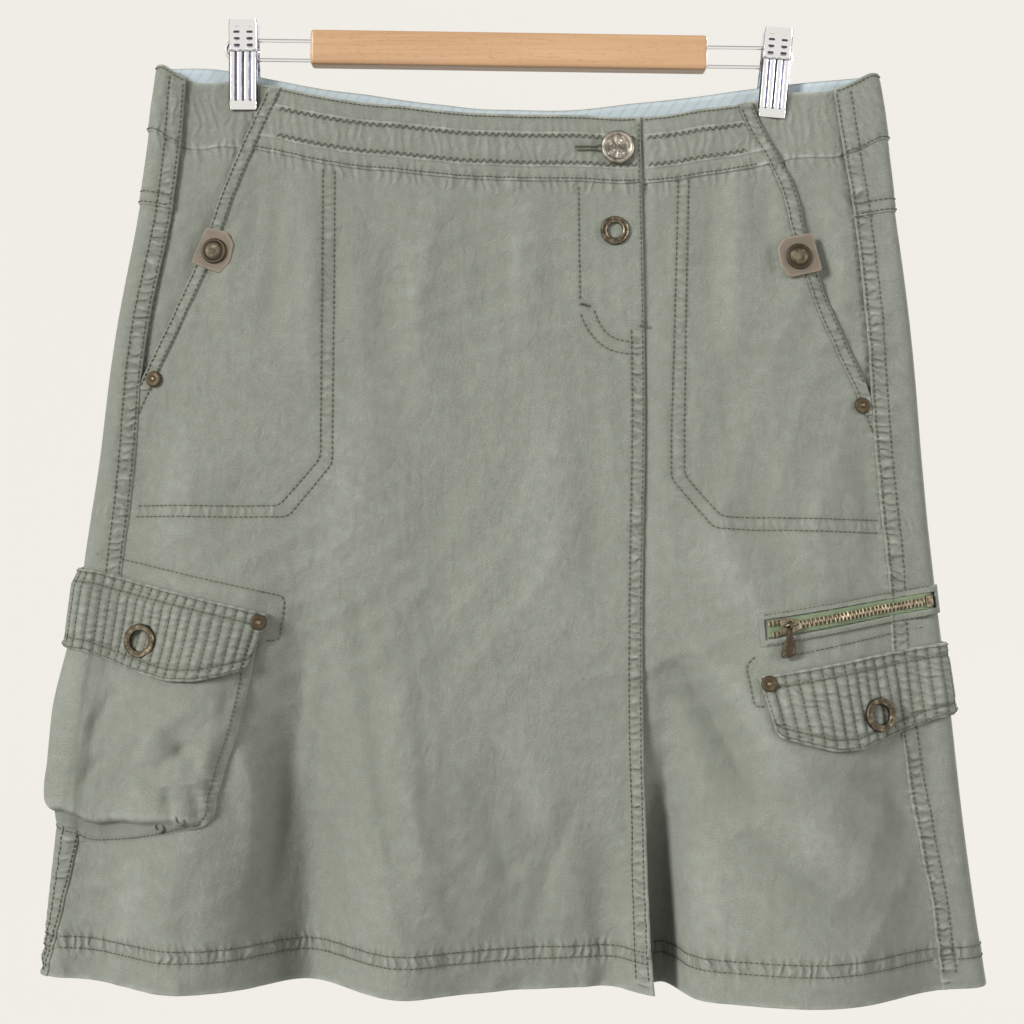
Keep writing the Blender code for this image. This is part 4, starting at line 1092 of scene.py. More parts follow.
class Sewing:
    """Stitches, gathered into a few joined meshes."""

    RINGS = ((-1.0, 0.35, -0.25), (-0.55, 0.95, 0.2), (0.55, 0.95, 0.2), (1.0, 0.35, -0.25))
    SIDES = 4
    REACH = 4
    SOFT = 1.5
    FULL = 3.7
    DRAW = 0.3
    MAP = (620, 600)
    MAP_CORNER = (-310.0, -590.0)

    def __init__(self, form: Form) -> None:
        """Start with nothing sewn."""
        self.form = form
        self.legs: dict[str, list[tuple]] = {}

    def add(self, group: str, first: Array, last: Array, normal: Array, radius: float) -> None:
        """Keep straight stitches from first to last."""
        self.legs.setdefault(group, []).append((first, last, normal, radius))

    def row(self, group: str, t: Array, z: Array, lift: Any, pitch: float = 2.9,
            radius: float = 0.42, slit: bool = False, offset: float = 0.0) -> None:
        """A row of running stitches along a line of places.

        Args:
            group: Mesh that they go into.
            t: Places round the tube.
            z: Heights.
            lift: The cloth's outer face there.
            pitch: From one stitch to the next.
            radius: Half the thread's width.
            slit: Whether the cloth follows the slit.
            offset: Shift to the line's side, in mm.
        """
        line = self.form.place(t, z, lift, slit)
        normal = self.form.outward(t, z, slit)
        if offset:
            tangent = np.gradient(line, axis=0)
            side = np.cross(normal, tangent)
            line = line + side / np.linalg.norm(side, axis=1, keepdims=True) * offset
        gone = reach(line)
        count = int(gone[-1] / pitch)
        if count < 1:
            return
        start = (np.arange(count) + 0.12) * pitch

        def at(values: Array, s: Array) -> Array:
            return np.stack([np.interp(s, gone, values[:, k]) for k in range(3)], axis=1)

        self.add(group, at(line, start), at(line, start + pitch * 0.76), at(normal, start), radius)

    def zigzag(self, group: str, t: Array, z: Array, lift: Any, half: float = 1.1,
               pitch: float = 1.5, radius: float = 0.30, slit: bool = False) -> None:
        """A row of slanted stitches that go from side to side of a line.

        Args:
            group: Mesh that they go into.
            t: Places round the tube.
            z: Heights.
            lift: The cloth's outer face there.
            half: How far they reach to each side.
            pitch: From one turn to the next.
            radius: Half the thread's width.
            slit: Whether the cloth follows the slit.
        """
        line = self.form.place(t, z, lift, slit)
        normal = self.form.outward(t, z, slit)
        side = np.cross(normal, np.gradient(line, axis=0))
        side /= np.linalg.norm(side, axis=1, keepdims=True)
        gone = reach(line)
        stops = np.arange(int(gone[-1] / pitch)) * pitch
        at = [np.stack([np.interp(stops, gone, v[:, k]) for k in range(3)], axis=1)
              for v in (line, side, normal)]
        sign = np.where(np.arange(len(stops)) % 2, half, -half)[:, None]
        turn = at[0] + at[1] * sign
        self.add(group, turn[:-1], turn[1:], at[2][:-1], radius)

    def press(self, pieces: Sequence[Any]) -> None:
        """Paint shade into the cloth along every row, and draw the cloth in there.

        The stitches are counted on a 1 mm map of the front and one of the back, each is blurred by
        a bell, and a point's share is its map's count over a full row's, kept under 1.

        Args:
            pieces: Cloth objects that carry the painted-shade attribute.
        """
        legs = [leg for group in self.legs.values() for leg in group]
        spot = np.concatenate([leg[0] * (1 - s) + leg[1] * s for leg in legs for s in (0.1, 0.5, 0.9)])
        away = np.concatenate([leg[2][:, 1] for leg in legs for _ in range(3)])
        limit = min(self.MAP) - 1
        taps = np.arange(-self.REACH, self.REACH + 1)
        share = bell(taps, self.SOFT)
        maps = []
        for side in (away < 0, away >= 0):
            heat = np.zeros(self.MAP)
            cell = np.round(spot[side][:, [0, 2]] - self.MAP_CORNER).astype(int).clip(0, limit)
            np.add.at(heat, (cell[:, 0], cell[:, 1]), 1.0)
            for axis in (0, 1):
                heat = sum(k * np.roll(heat, int(tap), axis) for k, tap in zip(share, taps))
            maps.append(np.clip(heat / self.FULL, 0, 1))
        for piece in pieces:
            count = len(piece.data.vertices)
            place, normal = np.empty(count * 3), np.empty(count * 3)
            soil_and_painted_shade = np.empty(count)
            piece.data.vertices.foreach_get("co", place)
            piece.data.vertices.foreach_get("normal", normal)
            piece.data.attributes["soil_and_painted_shade"].data.foreach_get("value", soil_and_painted_shade)
            place, normal = place.reshape(-1, 3), normal.reshape(-1, 3)
            spot_on = (place[:, [0, 2]] / MM - self.MAP_CORNER).clip(0, limit - 1)
            base = spot_on.astype(int)
            part = spot_on - base
            near = np.zeros(count)
            for front, heat in ((True, maps[0]), (False, maps[1])):
                here = (normal[:, 1] < 0) == front
                i, k = base[here].T
                f, g = part[here].T
                near[here] = ((heat[i, k] * (1 - f) + heat[i + 1, k] * f) * (1 - g)
                              + (heat[i, k + 1] * (1 - f) + heat[i + 1, k + 1] * f) * g)
            outer = np.arange(count) < count // 2
            place = place - normal * (near * outer * self.DRAW * MM)[:, None]
            # painted shade beside the stitches, strongest on the rows
            soil_and_painted_shade = np.clip(soil_and_painted_shade + 0.55 * near, 0, 1)
            piece.data.vertices.foreach_set("co", place.ravel())
            piece.data.attributes["soil_and_painted_shade"].data.foreach_set("value", soil_and_painted_shade.astype(np.float32))
            piece.data.update()

    def finish(self, look: bpy.types.Material) -> None:
        """Make one mesh of each group.

        Each stitch is a four-sided rod, thinner and lower at its ends.
        """
        ring_s, ring_r, ring_h = np.array(self.RINGS).T
        turn = (np.arange(self.SIDES) + 0.5) * TAU / self.SIDES
        body = grid_faces(len(ring_s), self.SIDES, wrap=True)
        start = np.arange(self.SIDES)
        ends = [start[None, :], (start + (len(ring_s) - 1) * self.SIDES)[None, ::-1]]
        for group, legs in self.legs.items():
            first, last, normal = (np.concatenate([leg[k] for leg in legs]) for k in range(3))
            radius = np.concatenate([np.full(len(leg[0]), leg[3]) for leg in legs])[:, None, None]
            half = (last - first) / 2
            length = np.linalg.norm(half, axis=1, keepdims=True)
            along = half / np.maximum(length, 1e-9)
            side = np.cross(along, normal)
            side /= np.linalg.norm(side, axis=1, keepdims=True)
            up = np.cross(side, along)
            centre = (first + last)[:, None] / 2 + half[:, None] * ring_s[:, None]
            centre = centre + up[:, None] * radius * ring_h[:, None]
            disc = side[:, None] * np.cos(turn)[:, None] + up[:, None] * np.sin(turn)[:, None]
            points = centre[:, :, None] + disc[:, None] * (radius * ring_r[:, None])[..., None]
            count = len(ring_s) * self.SIDES
            shift = (np.arange(len(first)) * count)[:, None, None]
            faces = [(block[None] + shift).reshape(-1, block.shape[1]) for block in [body] + ends]
            made = make_object(group, points.reshape(-1, 3), faces, look)
            dress(made)
            LOG.info("%s: %d stitches", group, len(first))


def polyline(points: Table, step: float = 1.5, soften: int = 0) -> tuple[Array, Array]:
    """Points every step along straight stretches, their corners softened.

    Args:
        points: Corners, (x, z).
        step: Spacing.
        soften: How many points the corners are averaged over.

    Returns:
        x and z.
    """
    corners = np.array(points, float)
    gone = reach(corners)
    s = np.linspace(0, gone[-1], max(int(gone[-1] / step), 2))
    line = np.stack([np.interp(s, gone, corners[:, k]) for k in range(2)])
    if soften:
        kernel = np.ones(soften) / soften
        wide = np.concatenate([np.repeat(line[:, :1], soften, 1), line,
                               np.repeat(line[:, -1:], soften, 1)], axis=1)
        line = np.stack([np.convolve(row, kernel, mode="same") for row in wide])[:, soften:-soften]
    return line[0], line[1]


# ---------------------------------------------------------------- the skirt's cloth

@dataclass
class Panels:
    """The fronts, the pocket backs, the back and its yoke."""

    tailor: Tailor
    panel: float = 1.2
    yoke_low: float = 0.9
    yoke_high: float = 2.1
    lap_rise: float = 1.1
    hem_rows: tuple = (23.0, 16.8)

    def lap_lift(self, t: Array, z: Array) -> Array:
        """How far the back's laps stand off, where they lie on the fronts: all of it up to 8 mm
        outboard of the fold edge, and nothing from 20 mm."""
        form = self.tailor.form
        t, x = form.wrapped(t), form.x_at(t, z)
        out = np.where(x < 0, smooth(form.LAP_LEFT, z) - x, x - smooth(form.LAP_RIGHT, z))
        low = 0.35 + 0.65 * ramp((-60 - z) / 90)
        return self.lap_rise * low * (1 - ramp((out - 8) / 12)) * (t <= 1)

    def sink(self, t: Array, z: Array) -> Array:
        """How far the right front sinks to pass under the left front's edge."""
        form = self.tailor.form
        return -1.7 * (1 - ramp((form.x_at(t, z) - form.fly(z) - 1.5) / 7.0))

    def placket(self, t: Array, z: Array) -> Array:
        """The doubled cloth along the lap's free edge stands a little higher."""
        form = self.tailor.form
        inside = form.fly(z) - form.x_at(t, z)
        return 0.45 * (1 - ramp((inside - 8.2) / 1.6))

    def around(self, first: float, z: Array, share: Array) -> Array:
        """t of lines that run round the back from one lap's edge to the other.

        Args:
            first: Distance outboard of the lap's edge, in mm.
            z: Heights.
            share: Of the way round, 0 to 1.

        Returns:
            t.
        """
        form = self.tailor.form
        start = form.t_of(smooth(form.LAP_RIGHT, z) + first, z)
        end = form.t_of(smooth(form.LAP_LEFT, z) - first, z) + 4
        return start * (1 - share) + end * share

    def back_grid(self, top: Callable, bottom: Callable, rows: tuple) -> tuple[Array, Array]:
        """t and z of a piece that runs round the back, crowded at both laps."""
        lead = np.array([0.0, 0.12, 0.4, 0.9, 1.6, 2.6, 4.2, 6.0, 8.0])
        share = np.linspace(0, 1, 112)[1:-1]
        tall, drop = rows
        count = 2 * len(lead) + len(share)
        z = np.full((len(tall), count), -200.0)
        t = self._columns_each(z, lead, share)
        for _ in range(4):
            z_top, z_bottom = top(t[0]), bottom(t[-1])
            z = z_top * (1 - tall[:, None]) + z_bottom * tall[:, None] - drop[:, None]
            t = self._columns_each(z, lead, share)
        return t, z

    def _columns_each(self, z: Array, lead: Array, share: Array) -> Array:
        """t of every column at its own height."""
        form, n = self.tailor.form, len(lead)

        def right(z: Array, out: Any) -> Array:
            return form.t_of(smooth(form.LAP_RIGHT, z) + out, z)

        def left(z: Array, out: Any) -> Array:
            lap = smooth(form.LAP_LEFT, z)
            tight = np.minimum(1.0, (lap - smooth(form.LEFT, z)) * 0.6 / 8)
            return form.t_of(lap - out * tight, z) + 4

        middle = z[:, n:-n]
        between = right(middle, lead[-1]) * (1 - share) + left(middle, lead[-1]) * share
        return np.concatenate([right(z[:, :n], lead), between, left(z[:, -n:], lead[::-1])], axis=1)

    def build(self) -> None:
        """Cut every panel."""
        form, cut = self.tailor.form, self.tailor.cut
        seam_side = (0.0, 0.12, 0.4, 0.9, 1.6, 2.6, 4.0, 6.0, 8.0)
        fly_side = (0.0, 0.12, 0.4, 0.9, 1.8, 3.2, 4.8, 6.4, 7.6, 9.0)
        hem_side = (0.0, 0.12, 0.4, 0.9, 1.8, 3.4, 5.4)
        rows = spread((0.0, 1.0), 225, hem_side)

        def under_band(t: Array) -> Array:
            return form.band_seam(t) + 4

        t, z = front_patch(form, lambda z: form.outer_left(z, 3), form.fly, under_band,
                           form.at_hem, spread(seam_side, 146, fly_side), rows)
        doubled = self.placket(t, z)
        cut("front_left", t, z, 0, self.panel + doubled, fade=(0.4, 0.4, 0, 0.5),
            rests_on=["waistband_front_left"])
        under_fly = (0.0, 2.0, 4.0, 6.0, 8.0, 10.0, 11.0, 12.0, 13.0, 14.5, 16.0, 18.0)
        t, z = front_patch(form, lambda z: form.fly(z) - 12, lambda z: form.outer_right(z, 3),
                           under_band, form.at_hem, spread(under_fly, 84, seam_side), rows)
        sink = self.sink(t, z)
        cut("front_right", t, z, sink, sink + self.panel, slit=True, fade=(0, 0.4, 0, 0.5),
            rests_on=["waistband_front_right"])
        for node, left, right, floor in (
            ("pocket_back_left", lambda z: smooth(form.LAP_LEFT, z) - 3, lambda z: 0 * z - 104,
             -264.0),
            ("pocket_back_right", lambda z: 0 * z + 99, lambda z: smooth(form.LAP_RIGHT, z) + 3,
             -276.0),
        ):
            t, z = front_patch(form, left, right, under_band, lambda t, f=floor: 0 * t + f,
                               spread(SOFT_EDGE, 46, SOFT_EDGE), spread((0.0, 1.0), 84, SOFT_EDGE))
            cut(node, t, z, -1.7, -0.5, fade=(0, 0, 0, 0), rests_on=["back_yoke"])
        t, z = self.back_grid(lambda t: form.yoke_line(t) + 5, form.at_hem,
                              spread((0.0, 1.0), 196, hem_side))
        lap = self.lap_lift(t, z)
        cut("back_panel", t, z, lap, lap + self.panel, fade=(0.22, 0.22, 0, 0.5),
            rests_on=["back_yoke"])
        t, z = self.back_grid(under_band, form.yoke_line, spread((0.0, 1.0), 34, EDGE))
        lap = self.lap_lift(t, z)
        cut("back_yoke", t, z, lap + self.yoke_low, lap + self.yoke_high,
            fade=(0.22, 0.22, 0, 0.4), rests_on=["waistband_back"])


@dataclass
class Waist:
    """Waistbands, facing, tapes and the slanted strips of the pocket mouths."""

    tailor: Tailor
    panels: Panels
    low: float = 1.0
    high: float = 2.4
    tape: float = 3.0
    back_low: float = 1.7
    back_high: float = 3.0
    tape_top: float = 9.8
    tape_bottom: float = 29.7
    strip_width: float = 8.0

    def build(self) -> None:
        """Cut every piece of the waist."""
        form, cut = self.tailor.form, self.tailor.cut
        clips = ["clip_front_left", "clip_front_right"]
        rows = spread(EDGE, 20, EDGE)
        across = spread(EDGE, 118, EDGE)
        t, z = front_patch(form, form.outer_left, form.fly, form.waist_line, form.band_seam,
                           across, rows)
        cut("waistband_front_left", t, z, self.low, self.high + self.panels.placket(t, z),
            fade=(0, 0.7, 0.9, 0.7), rests_on=clips)
        t, z = front_patch(form, lambda z: form.fly(z) - 12, form.outer_right, form.waist_line,
                           form.band_seam, spread(EDGE, 46, EDGE), rows)
        sink = self.panels.sink(t, z)
        cut("waistband_front_right", t, z, self.low + sink, self.high + sink,
            fade=(0, 0, 0.9, 0.7), rests_on=clips)
        for node, left, right in (
            ("waistband_side_left", lambda z: smooth(form.LAP_LEFT, z) - 3,
             lambda z: smooth(form.SLANT_LEFT, z) + 5),
            ("waistband_side_right", lambda z: smooth(form.SLANT_RIGHT, z) - 5,
             lambda z: smooth(form.LAP_RIGHT, z) + 3),
        ):
            t, z = front_patch(form, left, right, form.waist_line, form.band_seam,
                               spread(SOFT_EDGE, 24, SOFT_EDGE), rows)
            cut(node, t, z, -0.9, 0.4, fade=(0, 0, 0.8, 0.6), rests_on=["waistband_back"])
        t, z = self.panels.back_grid(form.waist_line, form.band_seam, spread(EDGE, 16, EDGE))
        lap = self.panels.lap_lift(t, z)
        cut("waistband_back", t, z, lap + self.back_low, lap + self.back_high,
            fade=(0.3, 0.3, 0.5, 0.4), rests_on=["clip_rear_left", "clip_rear_right"])
        t = np.linspace(1.12, 2.88, 150)
        drop = np.linspace(0.02, 0.86, 14)[:, None]
        z = form.waist_line(t) - form.BAND * drop
        cut("waist_facing_back", t + 0 * z, z, -0.6, 1.5, look=self.tailor.finishes.shirting,
            rounding=0.5, fade=(0, 0, 0, 0), rests_on=["waistband_back"], slot="striped_shirting")
        for node, left, right, end in (
            ("slant_strip_left", form.outer_left,
             lambda z: smooth(form.SLANT_LEFT, z) + self.strip_width, -200.0),
            ("slant_strip_right", lambda z: smooth(form.SLANT_RIGHT, z) - self.strip_width,
             form.outer_right, -214.0),
        ):
            t, z = front_patch(form, left, right, form.waist_line, lambda t, e=end: 0 * t + e,
                               spread(EDGE, 5, EDGE), spread(EDGE, 90, EDGE))
            above = 1 - ramp((form.band_seam(t) - z + 2) / 5)
            cut(node, t, z, self.panels.panel + 1.2 * above, self.panels.panel + 0.9 + 1.2 * above,
                fade=(0.3, 0.25, 0.5, 0.2), held="laid", rests_on=["front_left", "front_right"])

        def tape_top(t: Array) -> Array:
            return form.waist_line(t) - self.tape_top

        def tape_bottom(t: Array) -> Array:
            return form.waist_line(t) - self.tape_bottom

        for node, left, right, count in (
            ("waist_tape_left", lambda z: smooth(form.SLANT_LEFT, z) + 7.0,
             lambda z: form.fly(z) - 1.0, 110),
            ("waist_tape_right", lambda z: form.fly(z) + 2.0,
             lambda z: smooth(form.SLANT_RIGHT, z) - 7.0, 40),
        ):
            t, z = front_patch(form, left, right, tape_top, tape_bottom,
                               spread(EDGE, count, EDGE), spread(EDGE, 6, EDGE))
            sink = self.panels.sink(t, z) * (count < 100)
            cut(node, t, z, self.high - 0.2 + sink, self.tape + sink, fade=(0, 0, 0.75, 0.85),
                held="laid", rests_on=["waistband_front_left", "waistband_front_right"])


@dataclass
class CargoBag:
    """The left bellows bag: a puffed front panel whose lower fold overhangs the gusset."""

    tailor: Tailor
    top: float = -330.0
    wrap: float = 0.06
    depth: float = 11.5
    RIGHT = [(-452, -186), (-438, -165), (-421, -157.5), (-406, -153.5), (-382, -146.5),
             (-330, -136)]
    FLOOR = [(-250, -444), (-214, -449), (-192, -452), (-165, -438)]
    CREASES = (
        Crease(-205, -362, -228, -392, 5, -1.1, 2), Crease(-188, -366, -176, -410, 6, -1.2, -4),
        Crease(-168, -372, -190, -398, 4, 0.8, 3), Crease(-196, -384, -212, -418, 6, 0.9, 3),
        Crease(-170, -392, -186, -412, 3.5, -1.3, 3), Crease(-184, -388, -166, -404, 3.2, -1.0, 2),
        Crease(-176, -402, -160, -420, 3.6, -1.2, -3), Crease(-192, -404, -178, -426, 4, -1.1, 3),
        Crease(-158, -378, -166, -430, 4, 0.9, 2), Crease(-214, -402, -236, -420, 5, -0.9, 2),
        Crease(-182, -416, -178, -436, 3, -1.6, 1), Crease(-170, -414, -168, -436, 3, -1.5, -1),
        Crease(-226, -372, -234, -404, 5, 0.8, 2), Crease(-150, -360, -156, -384, 3, -0.8, 1),
    )
    FOLD = [(0.0, 0.62), (0.12, 0.78), (0.35, 0.84), (0.6, 0.86), (0.8, 0.87), (0.93, 0.93),
            (1.0, 1.0)]

    def floor(self, u: Any) -> Array:
        """Height of the bag's lower edge."""
        return smooth(self.FLOOR, -250 + 85 * u)

    def surface(self, u: Array, v: Array) -> tuple[Array, Array, Array, Array]:
        """The bag's outer face.

        u runs across and v down. The lift rises from the sewn side and the open top to the full
        depth, drops steeply at the fold, and runs in to the floor under it.

        Args:
            u: Across, 0 to 1.
            v: Down, 0 to 1.

        Returns:
            t, z, the lift, and how far the fold hangs down there.
        """
        form = self.tailor.form
        z = self.top * (1 - v) + self.floor(u) * v
        right = form.t_of(smooth(self.RIGHT, z), z)
        t = (-1 - self.wrap) * (1 - u) + right * u
        side = np.sin(np.clip(u, 0, 1) * math.pi) ** 0.42
        mouth = 0.30 + 0.70 * ramp(v / 0.45)
        fold = smooth(self.FOLD, u)
        past = ramp((v - fold + 0.035) / 0.07)
        swell = 0.9 * bell(v - fold + 0.07, 0.055)
        gusset = np.clip((1 - v) / np.maximum(1 - fold, 0.02), 0, 1) ** 0.7
        puffed = 1.0 + self.depth * side * mouth + swell * side
        tucked = 1.0 + self.depth * 0.42 * side * gusset
        ends = np.sqrt(np.clip(1 - v ** 14, 0, 1))
        lift = (puffed * (1 - past) + tucked * past) * (0.25 + 0.75 * ends)
        hang = 3.0 * bell(v - fold + 0.012, 0.035) * side
        x = form.x_at(t, z)
        lift = lift + sum(crease.lift_at(x, z) for crease in self.CREASES) * 2.7
        edge = smooth(self.RIGHT, z) - x
        lift = lift + 0.5 * ripple(z, 5.3, 3.3) * bell(edge - 4, 4.5) * ramp(edge / 2)
        return t, z, lift, hang

    def build(self, sewing: Sewing) -> None:
        """Cut the bag and sew its edge."""
        u = np.concatenate([[0, 0.003, 0.008], np.linspace(0.015, 0.985, 92), [0.992, 0.997, 1]])
        v = np.concatenate([np.linspace(0, 0.55, 34)[:-1], np.linspace(0.55, 1.0, 74)])[:, None]
        t, z, lift, hang = self.surface(u, v)
        nudge = np.stack([0 * hang, 0 * hang, -hang], axis=-1)
        fold = smooth(self.FOLD, u)
        # crest: paler along the fold's rubbed edge, painted shadow just under the overhanging fold
        crest = 0.35 * bell(v - fold + 0.02, 0.012) - 0.55 * bell(v - fold - 0.05, 0.035)
        self.tailor.cut("cargo_bag_left", t, z, lift - 1.0, lift + 0.2, rounding=0.7,
                        fade=(0.2, 0.4, 0.1, 0.5), held="folded", rests_on=["front_left"],
                        nudge=nudge, crest=crest)
        line = np.linspace(0.04, 0.985, 150)
        for across, down in ((0.972, line), (line, 0.965)):
            t, z, lift, _ = self.surface(across + 0 * line, down + 0 * line)
            sewing.row("stitches_bag", t, z, lift + 0.25, 2.6, 0.34)


@dataclass
class Flap:
    """A padded flap, stitched in rows.

    Its inner corners are (x, z); the outer ones and the point are heights. mirror is the side, -1
    or 1, that it turns round.
    """

    tailor: Tailor
    node: str
    top_in: tuple
    top_out: float
    side_in: tuple
    side_out: float
    point: float
    point_at: float
    mirror: int
    rows: int
    bag: CargoBag | None = None
    wrap: float = 0.02
    band: float = 7.0
    hem: float = 6.4

    def sewn_line(self, u: Array) -> Array:
        """Height of the flap's top edge."""
        return self.top_in[1] * (1 - u) + self.top_out * u

    def surface(self, u: Array, v: Array) -> tuple[Array, Array, Array]:
        """The flap's inner face, its places across spread evenly along the cloth.

        Args:
            u: Outwards from the inner side, 0 to 1.
            v: Down, 0 to 1.

        Returns:
            t, z and the lift of the inner face.
        """
        way = np.linspace(0, 1, 300)
        gone = reach(self.tailor.form.place(*self.lie(way, 0.5 + 0 * way)))
        return self.lie(np.interp(u, gone / gone[-1], way), v)

    def lie(self, u: Array, v: Array) -> tuple[Array, Array, Array]:
        """The flap's inner face, crowded where it turns round the side.

        Args:
            u: Outwards from the inner side, 0 to 1.
            v: Down, 0 to 1.

        Returns:
            t, z and the lift of the inner face.
        """
        form = self.tailor.form
        u, v = np.broadcast_arrays(np.asarray(u, float), np.asarray(v, float))
        low = np.interp(u, (0, self.point_at, 1), (self.side_in[1], self.point, self.side_out))
        low = low + 1.6 * bell(u - self.point_at, 0.045) + 2.2 * bell(u, 0.022)
        low = low + 1.2 * bell(u - 1, 0.02)
        z = self.sewn_line(u) * (1 - v) + low * v
        inner = self.top_in[0] * (1 - v) + self.side_in[0] * v
        outer = 0.985 * smooth(form.LEFT if self.mirror < 0 else form.RIGHT, z)
        t_outer = form.t_of(outer, z)
        t = form.t_of(inner * (1 - u) + outer * u, z)
        t = t + (self.mirror * (1 + self.wrap) - t_outer) * ramp((u - 0.945) / 0.055)
        lift = 1.7 + 0.8 * v
        if self.bag:
            share = np.clip((self.bag.top - z) / (self.bag.top - self.bag.floor(1 - u)), 0, 1)
            over = self.bag.surface(1 - u * 0.94, share)[2]
            lift = 1.9 + np.maximum(over - 0.4, 0) * ramp((self.sewn_line(u) - 1.0 - z) / 9.0)
        return t, z, lift

    def quilt(self, u: Array, v: Array, tall: Array) -> Array:
        """Puff between the stitched rows, in mm: |sin(pi n u)|^0.6, pressed down at the band and
        at the row along the edge."""
        puff = np.abs(np.sin(math.pi * self.rows * u)) ** 0.6
        top = 1 - 0.9 * bell((v * tall - self.band), 1.0)
        bottom = 1 - 0.9 * bell(((1 - v) * tall - self.hem), 1.0)
        return 1.05 * puff * top * bottom

    def build(self, sewing: Sewing) -> None:
        """Cut the flap and sew its rows."""
        u = np.concatenate([[0, 0.002, 0.006], np.linspace(0.012, 0.988, self.rows * 9),
                            [0.994, 0.998, 1]])
        v = np.concatenate([[0, 0.008, 0.02], np.linspace(0.04, 0.96, 40), [0.98, 0.992, 1]])[:, None]
        t, z, low = self.surface(u, v)
        tall = z[:1] - z[-1:]
        puff = self.quilt(u, v, tall)
        high = low + 1.7 + puff
        # crest: paler on the puffs, painted shade in the valleys at the stitched rows
        crest = (puff - 0.85) * 0.6
        if self.mirror < 0:
            t, z, low, high, crest = (a[:, ::-1] for a in (t, z, low, high, crest))
        self.tailor.cut(self.node, t, z, low, high, rounding=1.4, fade=(0.6, 0.6, 0.6, 0.6),
                        slot="quilted_twill", padded=True, crest=crest, gather=0.6)
        group = "stitches_" + self.node
        shares = np.linspace(0.0, 1.0, 60)
        for k in range(1, self.rows):
            tt, zz, ll = (a[2:-2] for a in self.surface(k / self.rows + 0 * shares, shares))
            sewing.row(group, tt, zz, ll + 1.85, 2.5, 0.34)
        wide = np.linspace(0.005, 0.995, 160)
        height = self.surface(wide, 0 * wide)[1] - self.surface(wide, 0 * wide + 1)[1]
        for drop in (1.6, self.band, height - self.hem, height - 1.8):
            tt, zz, ll = self.surface(wide, drop / height)
            lift = ll + 1.85 + self.quilt(wide, drop / height, height)
            sewing.row(group, tt, zz, lift, 2.6, 0.34)
        for side in (0.012, 0.055, 0.985):
            tt, zz, ll = self.surface(side + 0 * shares, shares)
            sewing.row(group, tt, zz, ll + 2.2, 2.6, 0.34)


# ---------------------------------------------------------------- zip and trims

